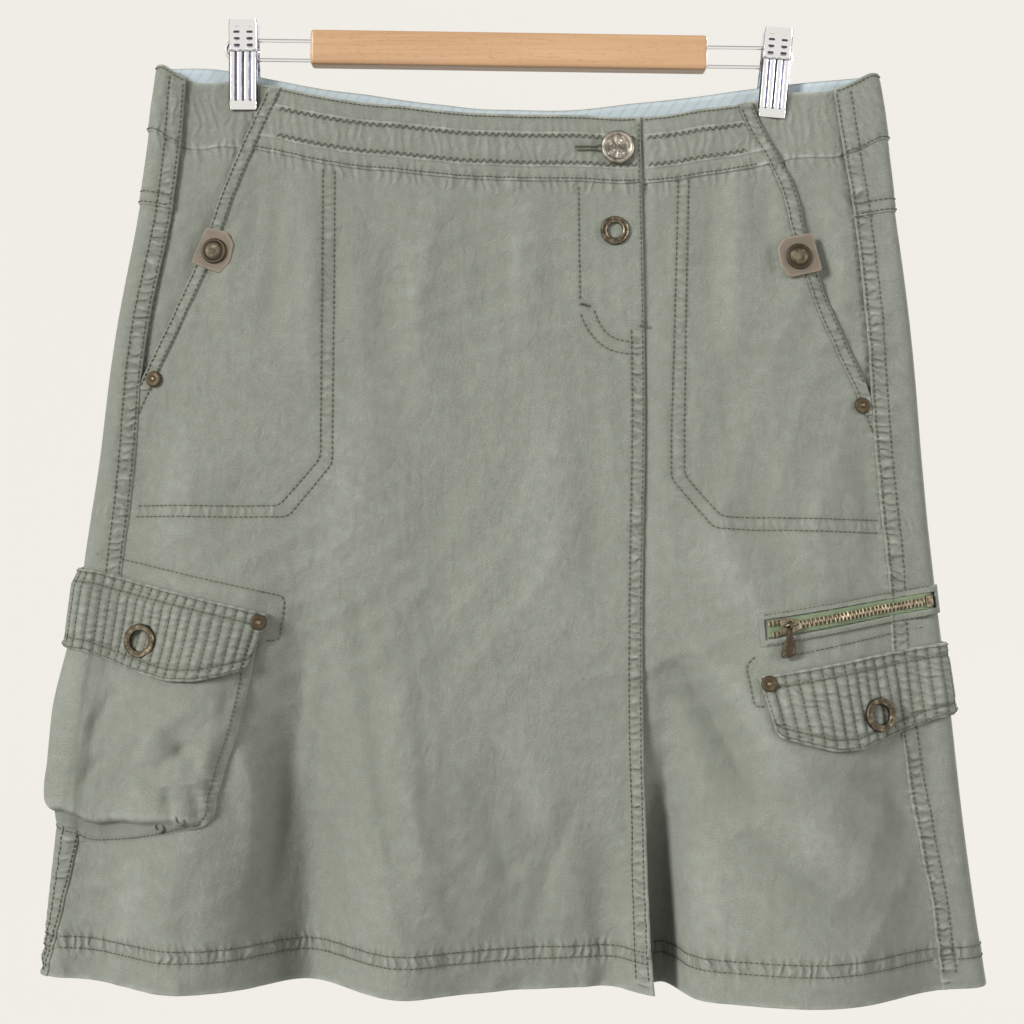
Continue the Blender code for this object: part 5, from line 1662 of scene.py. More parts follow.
@dataclass
class Zip:
    """The right cargo pocket's zip: welt, tape, teeth, end stop, slider and pull."""

    tailor: Tailor
    start: tuple = (143.0, -331.0)
    end: tuple = (233.0, -316.5)
    slider_at: float = 0.10
    half_window: float = 5.5
    welt: float = 3.4
    tooth_pitch: float = 2.3
    low: float = 1.7

    def spot(self, s: Any, across: Any, lift: Any) -> Array:
        """Points on the zip.

        Args:
            s: Share of the way along.
            across: Height over the zip's middle line, in mm.
            lift: Off the cloth's form.

        Returns:
            Points.
        """
        form = self.tailor.form
        s, across, lift = np.broadcast_arrays(s, across, lift)
        x = self.start[0] + (self.end[0] - self.start[0]) * s
        z = self.start[1] + (self.end[1] - self.start[1]) * s
        return form.place(form.t_of(x, z), z + across, lift + self.rise(s))

    @staticmethod
    def rise(s: Any) -> Array:
        """How far the zip climbs as it turns round the side."""
        return ramp((s - 0.7) / 0.2)

    def grid(self, s: Array, across: Array) -> tuple[Array, Array]:
        """t and z of a strip along the zip."""
        form = self.tailor.form
        x = self.start[0] + (self.end[0] - self.start[0]) * s
        z = self.start[1] + (self.end[1] - self.start[1]) * s
        return form.t_of(x, z) + 0 * across[:, None], z + across[:, None]

    def axes_at(self, s: Array, lift: float) -> tuple[Array, Array, Array, Array]:
        """Point, along, across and off directions at shares along the zip."""
        point = self.spot(s, 0.0, lift)
        along = self.spot(s + 0.01, 0.0, lift) - point
        along /= np.linalg.norm(along, axis=-1, keepdims=True)
        across = self.spot(s, 1.0, lift) - self.spot(s, -1.0, lift)
        off = np.cross(along, across)
        off /= np.linalg.norm(off, axis=-1, keepdims=True)
        return point, along, np.cross(off, along), off

    def tooth(self) -> tuple[Array, Array]:
        """One tooth: a bevelled block from its root on the tape to its head past the middle."""
        x = np.array([-0.5, -0.5, 0.5, 0.5])
        rings = ((-2.3, 1.1, 0.1, 0.8), (-1.2, 0.9, 0.0, 1.1), (0.1, 1.05, 0.0, 1.25),
                 (0.85, 0.6, 0.2, 0.95))
        points = [(x[k] * wide, y, low if k in (0, 3) else high)
                  for y, wide, low, high in rings for k in range(4)]
        faces = [grid_faces(4, 4, wrap=True)[:, ::-1], [[3, 2, 1, 0]], [[12, 13, 14, 15]]]
        return np.array(points), np.concatenate(faces)

    def teeth(self) -> None:
        """Both rows: meshed past the slider, apart before it."""
        length = math.dist(self.start, self.end)
        block, faces = self.tooth()
        parts = []
        for side in (1, -1):
            first = -0.025 + (0.5 * self.tooth_pitch / length if side < 0 else 0)
            s = np.arange(first, 0.962, self.tooth_pitch / length)
            s = s[np.abs(s - self.slider_at) > 5.2 / length]
            point, along, across, off = self.axes_at(s, self.low + 0.75)
            apart = 2.3 * ramp((self.slider_at - s) / 0.09)[:, None]
            flip = np.where(side > 0, -1.0, 1.0)
            place = (point - across * flip * apart)[:, None]
            place = place + along[:, None] * block[None, :, :1]
            place = place + across[:, None] * block[None, :, 1:2] * flip
            place = place + off[:, None] * block[None, :, 2:]
            rows = faces if flip > 0 else faces[:, ::-1]
            count = np.arange(len(s))[:, None, None] * len(block)
            parts.append((place.reshape(-1, 3), [(rows[None] + count).reshape(-1, 4)]))
        points, blocks = joined(parts)
        made = make_object("zip_teeth", points, blocks, self.tailor.finishes.teeth)
        made.data.shade_flat()
        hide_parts("zip_chain")
        dress(made)
        stop = []
        for lift, grow in ((0.2, 0.0), (1.3, 0.0), (1.6, -0.35)):
            corner = [(0.968 - grow * 0.006, 3.2 + grow), (0.968 - grow * 0.006, -3.2 - grow),
                      (0.997 + grow * 0.006, -3.2 - grow), (0.997 + grow * 0.006, 3.2 + grow)]
            stop.append([self.spot(s, a, self.low + 0.6 + lift) for s, a in corner])
        points = np.array(stop).reshape(-1, 3)
        faces = [grid_faces(3, 4, wrap=True)[:, ::-1], [[3, 2, 1, 0]], [[8, 9, 10, 11]]]
        made = make_object("zip_end_stop", points, faces, self.tailor.finishes.bronze)
        made.data.shade_flat()
        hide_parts("zip_stop")
        dress(made)

    def cloth(self, sewing: Sewing) -> None:
        """Tape and welt, sewn down along both sides."""
        for side in (1, -1):
            s = np.linspace(-0.05, 1.01, 90)
            t, z = self.grid(s, np.array([side * (self.half_window + 2.5)]))
            lift = self.low + 0.45 + self.rise(s)
            sewing.row("stitches_zip", t[0], z[0], lift, 2.5, 0.32)
        s = np.linspace(-0.035, 1.0, 70)
        t, z = self.grid(s, np.linspace(4.6, -4.6, 12))
        rise = self.rise(s) + 0 * z
        cut = self.tailor.cut
        cut("zip_tape", t, z, self.low + rise, self.low + 0.6 + rise, rounding=0.2, held="laid",
            look=self.tailor.finishes.tape, fade=(0, 0, 0, 0), rests_on=["front_right"],
            slot="zip_tape")
        loop = 260
        turn = np.arange(loop) / loop
        corners = np.array([(-0.05, self.half_window), (1.02, self.half_window - 1),
                            (1.02, 1 - self.half_window), (-0.05, -self.half_window),
                            (-0.05, self.half_window)])
        length = math.dist(self.start, self.end)
        gone = reach(corners * (length, 1))
        s, h = (np.interp(turn * gone[-1], gone, column) for column in corners.T)
        grow_s = np.where(np.abs(s - 0.485) > 0.533, np.sign(s - 0.485), 0.0)
        grow_h = np.where(np.abs(h) > 0.82 * (self.half_window - 1), np.sign(h), 0.0)
        rings, flat = [], []
        for out, lift in ((0.5, 0.0), (0.0, 0.35), (0.0, 0.85), (0.35, 1.05), (1.2, 1.0),
                          (2.2, 0.75), (2.7, 0.7), (self.welt - 0.35, 0.55), (self.welt, 0.4),
                          (self.welt + 0.1, 0.1)):
            wave = 0.18 * np.sin(s * length / 1.9) * (0.3 < out)
            rings.append(self.spot(s + grow_s * out * 0.8 / length, h + grow_h * out,
                                   self.low - 0.4 + lift + wave))
            flat.append(np.stack([s * length + grow_s * out, h + grow_h * out], axis=-1))
        points = np.array(rings).reshape(-1, 3)
        faces = grid_faces(len(rings), loop, wrap=True)
        bottom = np.arange(loop)
        last = bottom + (len(rings) - 1) * loop
        under = np.stack([last, bottom, np.roll(bottom, -1), np.roll(last, -1)], axis=-1)
        faces = np.concatenate([faces, under])[:, ::-1]
        wash = np.zeros((len(rings), loop))
        wash[3] = 0.16
        uv = (np.array(flat) + self.start).reshape(-1, 2) * MM
        facts = {"wash": wash.astype(np.float32), "soil_and_painted_shade": (0.12 + 0 * wash).astype(np.float32)}
        made = make_object("zip_welt_cloth", points, [faces], self.tailor.finishes.twill, uv, facts)
        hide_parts("zip_welt")
        dress(made)

    def slider(self, hinge: Seat) -> None:
        """Slider with its bridge, and the pull on the bridge, which swings."""
        finishes = self.tailor.finishes
        here = np.array([self.slider_at])
        point, along, across, off = (a[0] for a in self.axes_at(here, self.low + 0.6))
        seat = Seat(point, np.stack([along, across, off]))
        outline = np.array([(-5, 3.1), (-4.2, 3.75), (-2, 3.75), (3.8, 2.5), (5, 1.7), (5, -1.7),
                            (3.8, -2.5), (-2, -3.75), (-4.2, -3.75), (-5, -3.1)])
        parts = []
        for low, high in ((0.1, 0.9), (1.6, 2.5)):
            parts.append(slab(outline * (1.08, 1.22), low, high, 0.3))
        parts.append(slab(outline * (0.25, 0.35) - (3.4, 0), 0.6, 1.9, 0.1))
        bridge = np.array([(-3.6, 2.3), (-3.5, 4.0), (-2.7, 5.3), (-1.2, 5.95), (0.6, 5.9),
                           (2.4, 5.2), (3.4, 3.9), (3.6, 2.3)])
        path = np.stack([bridge[:, 0], 0 * bridge[:, 0], bridge[:, 1]], axis=-1)
        parts.append(rod(path, 0.8, 10))
        points, faces = joined(parts)
        made = make_object("zip_slider_body", seat.put(points), faces, finishes.bronze)
        made.data.set_sharp_from_angle(angle=math.radians(40))
        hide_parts("zip_slider")
        dress(made)
        turn = np.linspace(0, TAU, 29)[:-1]
        ring_turn = np.linspace(0, TAU, 13)[:-1]
        r = 1.95 + 0.62 * np.cos(ring_turn)
        eye = np.stack([np.broadcast_to(0.9 * np.sin(ring_turn), (28, 12)),
                        -np.cos(turn)[:, None] * r, np.sin(turn)[:, None] * r], axis=-1)
        eye_faces = grid_faces(28, 12, wrap=True)
        seam = np.arange(12)
        close = np.stack([seam + 27 * 12, seam, np.roll(seam, -1), np.roll(seam, -1) + 27 * 12], -1)
        lean = math.tan(math.radians(14))
        y = np.concatenate([[-1.9, -2.1, -2.6], np.linspace(-3.6, -15.2, 22),
                            [-16.0, -16.7, -17.1, -17.3]])
        half = smooth([(-17.3, 0.9), (-17.0, 2.3), (-16.4, 3.2), (-15.0, 3.8), (-12, 3.75),
                       (-8.5, 2.9), (-6, 1.75), (-3.2, 1.25), (-1.9, 1.2)], y)
        c = np.array([-1, -0.93, -0.8, -0.62, -0.5, -0.3, 0, 0.3, 0.5, 0.62, 0.8, 0.93, 1])
        groove = bell(y + 11.8, 3.6)[:, None] ** 2 * (np.abs(c) < 0.45)
        thick = 0.72 * np.sqrt(1 - np.abs(c) ** 6 * 0.85)[None] * (1 - 0.42 * groove)
        grip = 1 - 0.25 * (y < -16.5)[:, None]
        front = np.stack([c * half[:, None] + lean * y[:, None], y[:, None] + 0 * thick,
                          thick * grip], axis=-1).reshape(-1, 3)
        parts = [(eye.reshape(-1, 3), [eye_faces[:, ::-1], close[:, ::-1]]),
                 (np.concatenate([front, front * (1, 1, -1)]), [wall_faces(*thick.shape)])]
        points, faces = joined(parts)
        # darker bands across the blade and along its edges
        ribs = np.clip(np.sin(y * TAU / 2.3), 0, 1)[:, None] * (np.abs(c) < 0.62) * (y < -6)[:, None]
        ribs = (0.08 + 0.22 * ribs + 0.2 * (np.abs(c) > 0.9)).ravel()
        soil_and_painted_shade = np.concatenate([np.full(eye.size // 3, 0.06), ribs, ribs]).astype(np.float32)
        made = make_object("zip_pull_tab", hinge.put(points), faces, finishes.bronze,
                           facts={"soil_and_painted_shade": soil_and_painted_shade})
        made.data.set_sharp_from_angle(angle=math.radians(50))
        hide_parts("zip_pull")
        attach(made, Body.PULL.value)


@dataclass
class Trims:
    """Rivets, rings, buttons, eyelets and leather tabs."""

    tailor: Tailor
    flap_left: Flap
    flap_right: Flap
    bag: CargoBag
    TAB_LEFT = [(-5, 13.9), (7.1, 10.6), (11, 4), (8.8, -6.5), (3, -12.6), (-13.3, -6)]
    TAB_RIGHT = [(7.9, 13.5), (13.4, -7.5), (-5.3, -11.9), (-10.3, -5.3), (-11.9, 5.2), (-8.1, 10.2)]

    def turned(self, node: str, profile: Table, look: bpy.types.Material, x: float,
               z: float, lift: float, segments: int = 48, relief: Callable | None = None,
               facing: float = 0.0, grime: float = 0.17, tarnish: float = 0.0) -> None:
        """One turned trim, seated on the cloth and dark in its hollows.

        Args:
            node: The CAD node that it stands for.
            profile: Rows of (radius, height).
            look: Material.
            x: Across.
            z: Height.
            lift: Off the smooth tube.
            segments: Points on a ring.
            relief: Height to add, from radius and angle.
            facing: How far it is drawn round to face straight forward.
            grime: The most soil in its hollows.
            tarnish: Soil all over.
        """
        points, faces = lathe(profile, segments, relief)
        height = np.array(profile, float)[:, 1]
        hollow = np.clip((0.92 - height / height.max()) * 1.5, 0, grime) + tarnish
        if profile[0][0] == 0:
            soil_and_painted_shade = np.concatenate([np.repeat(hollow[1:-1], segments), hollow[[0, -1]]])
        else:
            soil_and_painted_shade = np.repeat(hollow, segments)
        seat = seat_on(self.tailor.form, x, z, lift, facing)
        made = make_object(node + "_metal", seat.put(points), faces, look,
                           facts={"soil_and_painted_shade": soil_and_painted_shade.astype(np.float32)})
        made.data.set_sharp_from_angle(angle=math.radians(48))
        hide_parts(node)
        dress(made)

    def leather(self, node: str, outline: Table, x: float, z: float, lift: float) -> None:
        """A leather tab: a domed plate with rounded corners and a rubbed edge.

        Args:
            node: The CAD node that it stands for.
            outline: Corners, (x, y).
            x: Across.
            z: Height.
            lift: Off the smooth tube.
        """
        x_line, y_line = polyline(list(outline) + [outline[0]], 0.5)
        ring = np.stack([x_line, y_line], axis=-1)[:-1]
        kernel = 9
        ring = sum(np.roll(ring, k - kernel // 2, axis=0) for k in range(kernel)) / kernel
        middle = ring.mean(axis=0)
        rows = ((0.0, 1.55), (0.35, 1.6), (0.62, 1.6), (0.8, 1.5), (0.88, 1.35), (0.93, 1.5),
                (0.97, 1.42), (0.99, 1.15), (1.0, 0.7), (0.985, 0.1), (0.9, 0.0))
        rings = [np.column_stack([middle + (ring - middle) * share, np.full(len(ring), height)])
                 for share, height in rows[1:]]
        count = len(ring)
        points = np.concatenate(rings + [[[*middle, rows[0][1]]], [[*middle, 0.0]]])
        index, top = np.arange(count), len(rings) * count
        last = index + (len(rings) - 1) * count
        after = np.roll(index, -1)
        sign = 1 if turning(ring) > 0 else -1
        faces = [grid_faces(len(rings), count, wrap=True)[:, ::sign],
                 np.stack([index * 0 + top, index, after], -1)[:, ::sign],
                 np.stack([index * 0 + top + 1, np.roll(last, -1), last], -1)[:, ::sign]]
        wash = np.concatenate([np.repeat([0, 0, 0, 0.1, 0.3, 0.9, 1.0, 0.6, 0.2, 0.0], count), [0, 0]])
        seat = seat_on(self.tailor.form, x, z, lift)
        made = make_object(node + "_hide", seat.put(points), faces, self.tailor.finishes.leather,
                           None, {"wash": wash.astype(np.float32)})
        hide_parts(node)
        dress(made)

    def build(self) -> None:
        """Make every trim."""
        f = self.tailor.finishes
        form = self.tailor.form
        rivet = [(0, 1.7), (0.9, 1.65), (1.3, 1.25), (1.6, 0.95), (2.4, 1.05), (3.3, 1.3),
                 (3.9, 1.2), (4.3, 0.8), (4.45, 0.2), (4.2, -0.4), (0, -0.4)]
        flap_lift = float(self.flap_left.surface(0.05, 0.16)[2]) + 3.0
        for node, x, z, lift in (
            ("rivet_pocket_left", -196.5, -193.8, 2.4), ("rivet_pocket_right", 195, -208.5, 2.4),
            ("rivet_flap_left", -137.5, -327.5, flap_lift),
            ("rivet_flap_right", 140, -360.5, 4.3),
        ):
            self.turned(node, rivet, f.brass, x, z, lift, 32)
        for side, outline, x, z in (("left", self.TAB_LEFT, -163, -123),
                                    ("right", self.TAB_RIGHT, 159.7, -126.6)):
            self.leather("leather_tab_" + side, outline, x, z, 2.3)
            cap = [(0, 2.3), (1.8, 2.28), (3.4, 2.15), (4.5, 1.9), (5.0, 1.5), (5.15, 1.2), (5.5, 1.35),
                   (6.0, 1.4), (6.5, 1.1), (6.7, 0.6), (6.6, 0.1), (6.0, 0), (0, 0)]
            cap = [(1.06 * r, h) for r, h in cap]
            self.turned("snap_cap_" + side, cap, f.bronze, x, z, 3.9,
                        tarnish=0.13 if side == "left" else 0.02)

        def swirl(r: Array, angle: Array) -> Array:
            curl = np.sin(3 * angle + r * 1.9) * np.sin(5 * angle - r * 1.5 + 0.6)
            return 0.34 * curl * (r < 6.4) * ramp(r / 1.2)

        button = [(0, 2.1)] + [(0.6 * k, 2.1 - 0.01 * k) for k in range(1, 11)] + [
            (6.5, 2.0), (6.9, 2.5), (7.4, 2.95), (8.2, 3.0), (8.9, 2.6), (9.25, 1.9), (9.1, 1.0),
            (8.4, 0.4), (6.0, 0), (0, 0)]
        self.turned("waist_button", button, f.silver, 60.2, -66, 3.2, 96, swirl,
                    grime=0.06)

        def studs(inner: float, outer: float, count: int) -> Callable:
            middle, wide = (inner + outer) / 2, (outer - inner) / 2
            return lambda r, a: (0.28 * np.clip(np.cos(count * a), 0, 1) ** 0.5
                                 * bell((r - middle) / wide, 0.45))

        def ring(inner: float, outer: float, height: float) -> Table:
            wide = outer - inner
            return [(inner, 0), (inner, height * 0.6), (inner + wide * 0.08, height * 0.92),
                    (inner + wide * 0.2, height), (inner + wide * 0.3, height * 0.86),
                    (inner + wide * 0.4, height * 0.84), (inner + wide * 0.5, height * 0.84),
                    (inner + wide * 0.6, height * 0.84), (inner + wide * 0.7, height * 0.86),
                    (inner + wide * 0.82, height), (outer - wide * 0.06, height * 0.85),
                    (outer, height * 0.45), (outer - 0.1, 0)]

        left = float(self.flap_left.surface(0.62, 0.62)[2]) + 2.6
        for node, inner, outer, height, x, z, lift, facing in (
            ("ring_fly", 4.2, 8.0, 1.9, 58.6, -112, 1.6, 0.0),
            ("ring_flap_left", 5.6, 9.4, 2.2, -197, -338.5, left + 0.8, 0.4),
            ("ring_flap_right", 5.6, 9.4, 2.2, 199, -378.5, 5.2, 0.4),
        ):
            self.turned(node, ring(inner, outer, height), f.bronze, x, z, lift, 96,
                        studs(inner, outer, 22), facing)
        for node, x, z in (("eyelet_outer", -187, -437.5), ("eyelet_inner", -175.5, -433)):
            u = (form.t_of(x, z) + 1 + self.bag.wrap) / (
                form.t_of(smooth(self.bag.RIGHT, z), z) + 1 + self.bag.wrap)
            v = (self.bag.top - z) / (self.bag.top - self.bag.floor(u))
            lift = float(self.bag.surface(np.array(u), np.array(v))[2])
            self.turned(node, [(1.5, 0), (1.6, 1.0), (2.1, 1.5), (2.8, 1.4), (3.3, 0.8), (3.4, 0)],
                        f.eyelet, x, z, lift + 0.1, 24)


# ---------------------------------------------------------------- the hanger

@dataclass
class Hanger:
    """The beech bar, its wires and both clips."""

    finishes: Finishes
    bar: tuple = (221.0, 14.0, 19.5)
    tilt: float = 0.86
    heights: tuple = (-5.5, -16.3)
    reach: float = 158.2
    plate: tuple = (16.0, 50.0, 1.0)
    above: float = 15.5

    def tilted(self, points: Array) -> Array:
        """Turned about Y with the bar, right end low."""
        a = math.radians(self.tilt)
        x, y, z = points.T
        return np.stack([x * math.cos(a) + z * math.sin(a), y, z * math.cos(a) - x * math.sin(a)], -1)

    def build(self) -> None:
        """Dress the bar, and make the wires and clips."""
        self.build_bar()
        for side, sign, middle, lean in (("left", -1, -148.0, 0.0), ("right", 1, 149.5, 5.0)):
            self.build_wire(side, sign)
            self.build_clip(side, middle, lean)

    def build_bar(self) -> None:
        """A bar with well rounded edges: rings of a superellipse along X, drawn in at the ends.

        A place on a ring is the half size times |cos|^(2/n) and |sin|^(2/n) with their signs.
        """
        length, depth, height = self.bar
        ends = np.array([0, 0.05, 0.2, 0.55, 1.1, 1.8, 2.6])
        x = np.concatenate([ends, np.linspace(4, length - 4, 40), length - ends[::-1]]) - length / 2
        pull = 1 - np.sqrt(1 - (1 - np.clip((length / 2 - np.abs(x)) / 1.8, 0, 1)) ** 2)
        turn = np.arange(64) * TAU / 64
        power = 2 / 7.5
        c, s = np.cos(turn), np.sin(turn)
        y = np.sign(c) * np.abs(c) ** power * (depth / 2)
        z = np.sign(s) * np.abs(s) ** power * (height / 2)
        shrink = 1.7 * pull[:, None]
        ring_y = y * (1 - shrink / (depth / 2))
        ring_z = z * (1 - shrink / (height / 2)) - height / 2
        points = np.stack([x[:, None] + 0 * ring_y, ring_y, ring_z], axis=-1).reshape(-1, 3)
        rows, count = len(x), len(turn)
        points = np.concatenate([points, [[-length / 2, 0, -height / 2], [length / 2, 0, -height / 2]]])
        index = np.arange(count)
        after = np.roll(index, -1)
        last = (rows - 1) * count
        faces = [grid_faces(rows, count, wrap=True)[:, ::-1],
                 np.stack([index * 0 + rows * count, after, index], -1),
                 np.stack([index * 0 + rows * count + 1, index + last, after + last], -1)]
        made = make_object("hanger_bar_wood", self.tilted(points), faces, self.finishes.beech)
        made.data.set_sharp_from_angle(angle=math.radians(40))
        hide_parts("hanger_bar")
        dress(made)

    def build_wire(self, side: str, sign: int) -> None:
        """A wire that leaves the bar, bends past the clip and comes back."""
        high, low = self.heights
        middle, radius = (high + low) / 2, (high - low) / 2
        bend = self.reach - radius
        turn = np.linspace(math.pi / 2, -math.pi / 2, 25)
        x = np.concatenate([np.linspace(104, bend - 1, 12), bend + radius * np.cos(turn),
                            np.linspace(bend - 1, 104, 12)])
        z = np.concatenate([np.full(12, high), middle + radius * np.sin(turn), np.full(12, low)])
        path = np.stack([sign * x, 0 * x, z], axis=-1)
        points, faces = rod(path, 1.1, 14)
        made = make_object("hanger_wire_" + side + "_chrome", self.tilted(points), faces,
                           self.finishes.chrome)
        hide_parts("hanger_wire_" + side)
        dress(made)

    def jaw(self, sign: int, grip: float) -> tuple[Array, list[Array], Array]:
        """One pressed jaw: the bent profile with flutes, ridges and curled side edges.

        The profile's distance from the middle plane comes from a table over height; the four
        flutes add |cos|, the ridges add bells in two columns, and both fade out at the lip.

        Args:
            sign: -1 for the front jaw.
            grip: Distance of the lip from the middle plane.

        Returns:
            Points and faces, in the clip's space, and where painted dark reflections lie in its flutes,
            round its ridges and on its curled edges.
        """
        width, length, thick = self.plate
        rest = 4.2
        top, bottom = self.above, self.above - length
        profile = [(bottom, grip), (bottom + 9, grip), (-11, grip), (-5.5, rest + 0.3), (-3, rest),
                   (4.5, rest), (9, rest + 0.9), (top, rest + 2.2)]
        u = np.concatenate([[-1, -0.985, -0.95], np.linspace(-0.9, 0.9, 49), [0.95, 0.985, 1]])
        v = np.concatenate([[0, 0.4], np.linspace(1.0, length - 1.0, 110), [length - 0.4, length]])
        z = (top - v)[:, None] + 0 * u
        across = u * width / 2 * (1 - 0.05 * bell(v, 2.0) - 0.04 * bell(v - length, 2.0))[:, None]
        flute_zone = ramp((-0.6 - z) / 1.8) * ramp((z - (bottom + 3.6)) / 2.0)
        flutes = 0.95 * np.abs(np.sin(u * math.pi * 2)) ** 0.75 * flute_zone
        ridges = sum(bell(z - (top - 5.0 - 3.5 * k), 1.0) for k in range(4))
        columns = bell(u - 0.45, 0.27) + bell(u + 0.45, 0.27)
        # painted dark reflections: stripes in the flute valleys, rungs round the ridges, and the curled
        # side edges
        stripes = np.clip(1.6 - 1.9 * np.abs(np.sin(u * math.pi * 2)), 0, 0.9) * flute_zone
        rungs = np.clip(1.1 - 1.9 * ridges, 0, 0.9) * np.clip(columns * 2.4 - 0.7, 0, 1)
        soil_and_painted_shade = stripes + rungs * ramp((z - (top - 17.0)) / 0.8) * ramp((top - 3.2 - z) / 0.8)
        soil_and_painted_shade = np.maximum(soil_and_painted_shade, 0.75 * ramp((np.abs(u) - 0.93) / 0.05))
        lip = 0.35 * bell(z - (bottom + 3.2), 0.7) + 0.25 * bell(z - bottom - 0.8, 0.8)
        curl = 0.9 * ramp((np.abs(u) - 0.9) / 0.1)
        out = smooth(profile, z) + thick + flutes + 0.7 * ridges * columns + lip - curl
        inner = smooth(profile, z) - 0.15 * curl
        points = np.concatenate([np.stack([across, sign * y, z], axis=-1).reshape(-1, 3)
                                 for y in (out, inner)])
        faces = wall_faces(*z.shape)[:, ::-sign]
        return points, [faces], np.concatenate([soil_and_painted_shade.ravel(), 0 * soil_and_painted_shade.ravel()])

    def build_clip(self, side: str, middle: float, lean: float) -> None:
        """Both jaws and the coiled spring between them."""
        hub = self.tilted(np.array([[middle, 0, sum(self.heights) / 2]]))[0]
        a = math.radians(lean)
        axes = np.array([[math.cos(a), 0, -math.sin(a)], [0, 1, 0], [math.sin(a), 0, math.cos(a)]])
        seat = Seat(hub, axes)
        for face, sign, grip in (("front", -1, 4.8), ("rear", 1, 6.7)):
            points, faces, soil_and_painted_shade = self.jaw(sign, grip)
            node = "clip_" + face + "_" + side
            made = make_object(node + "_chrome", seat.put(points), faces, self.finishes.chrome,
                               facts={"soil_and_painted_shade": soil_and_painted_shade.astype(np.float32)})
            made.data.set_sharp_from_angle(angle=math.radians(50))
            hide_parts(node)
            dress(made)
        turns, wire = 5.0, 0.62
        angle = np.linspace(0, TAU * turns, int(turns * 22))
        x = (angle / (TAU * turns) - 0.5) * 7.4
        coil = np.stack([x, 3.2 * np.cos(angle), 3.2 * np.sin(angle)], axis=-1)
        pin = np.stack([np.linspace(-6.6, 6.6, 8), np.zeros(8), np.zeros(8)], axis=-1)
        points, faces = joined([rod(coil, wire, 8, (1, 0, 0)), rod(pin, 1.5, 12, (0, 0, 1))])
        made = make_object("clip_spring_" + side, seat.put(points), faces, self.finishes.spring)
        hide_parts("clip_barrel_" + side)
        dress(made)


# ---------------------------------------------------------------- creases placed one by one

FRONT_CREASES = (
    Crease(-149, -98, -172, -158, 6, -2.0, 3, 0.3), Crease(-163, -92, -186, -150, 7, -1.5, -3),
    Crease(-156, -98, -178, -170, 5, 1.0, 2), Crease(-137, -74, -143, -150, 7, -1.5, 2, 0.2),
    Crease(-125, -80, -130, -176, 7, -1.7, 2, 0.25), Crease(-116, -78, -112, -196, 8, 1.0, -3),
    Crease(-92, -80, -97, -168, 8, -1.0, 2), Crease(-70, -84, -66, -210, 11, -1.1, -3),
    Crease(-44, -86, -50, -190, 10, 0.9, 3), Crease(-22, -88, -16, -236, 12, -1.0, 4),
    Crease(8, -90, 5, -178, 9, 0.8, -2), Crease(26, -92, 30, -160, 7, -0.9, 2),
    Crease(-84, -190, -100, -330, 13, 1.3, -5), Crease(-38, -230, -30, -380, 16, -1.6, 5),
    Crease(20, -210, 12, -350, 15, 1.4, -6), Crease(46, -190, 52, -330, 10, -1.1, 3),
    Crease(-140, -240, -152, -310, 12, -1.6, 4), Crease(-178, -212, -190, -292, 10, 1.3, -3),
    Crease(-196, -215, -206, -282, 7, -1.2, 2), Crease(-112, -318, -136, -505, 8, -2.6, -4, 0.35),
    Crease(-95, -430, -88, -500, 5, -2.2, 2, 0.3), Crease(-84, -310, -50, -500, 8, -2.4, 5, -0.3),
    Crease(-64, -340, -36, -512, 9, 1.6, 4), Crease(-20, -410, 6, -505, 8, -1.6, -4, 0.2),
    Crease(38, -424, 12, -508, 7, -1.3, 4, 0.3), Crease(26, -440, -8, -480, 4, -0.5, 3),
    Crease(-10, -446, -40, -476, 4, -0.5, -2), Crease(16, -458, -24, -498, 3.6, 0.45, 3),
    Crease(-4, -380, 24, -450, 10, 1.5, -4), Crease(60, -360, 66, -500, 6, -1.2, -2),
    Crease(112, -76, 108, -178, 8, -1.4, -2, 0.2), Crease(128, -74, 126, -190, 7, 1.1, 3),
    Crease(142, -80, 150, -152, 6, -1.5, 2, 0.2), Crease(164, -98, 178, -172, 6, -1.7, -3),
    Crease(176, -92, 190, -150, 6, 1.0, 2), Crease(118, -170, 112, -262, 9, -1.0, -3),
    Crease(88, -90, 86, -160, 6, -0.9, 2), Crease(104, -260, 132, -330, 12, 1.4, 5),
    Crease(120, -262, 160, -322, 10, -1.5, -5), Crease(170, -236, 176, -310, 10, 1.1, 3),
    Crease(194, -228, 202, -300, 7, -1.3, -2), Crease(86, -348, 134, -432, 12, -6.2, -5, 0.4),
    Crease(126, -436, 196, -492, 10, -4.2, 6, 0.4), Crease(118, -350, 152, -420, 10, 1.8, -4),
    Crease(150, -424, 214, -476, 9, 1.8, 5), Crease(168, -410, 226, -432, 7, -1.4, -4),
    Crease(104, -440, 120, -512, 8, 1.3, 3), Crease(206, -404, 232, -470, 8, -1.3, 3),
    Crease(-168, -452, -176, -512, 7, -1.6, 2), Crease(-204, -452, -212, -515, 9, 1.2, -2),
    Crease(-150, -380, -142, -470, 7, 1.4, -3), Crease(-232, -300, -240, -380, 5, 0.8, 1),
)
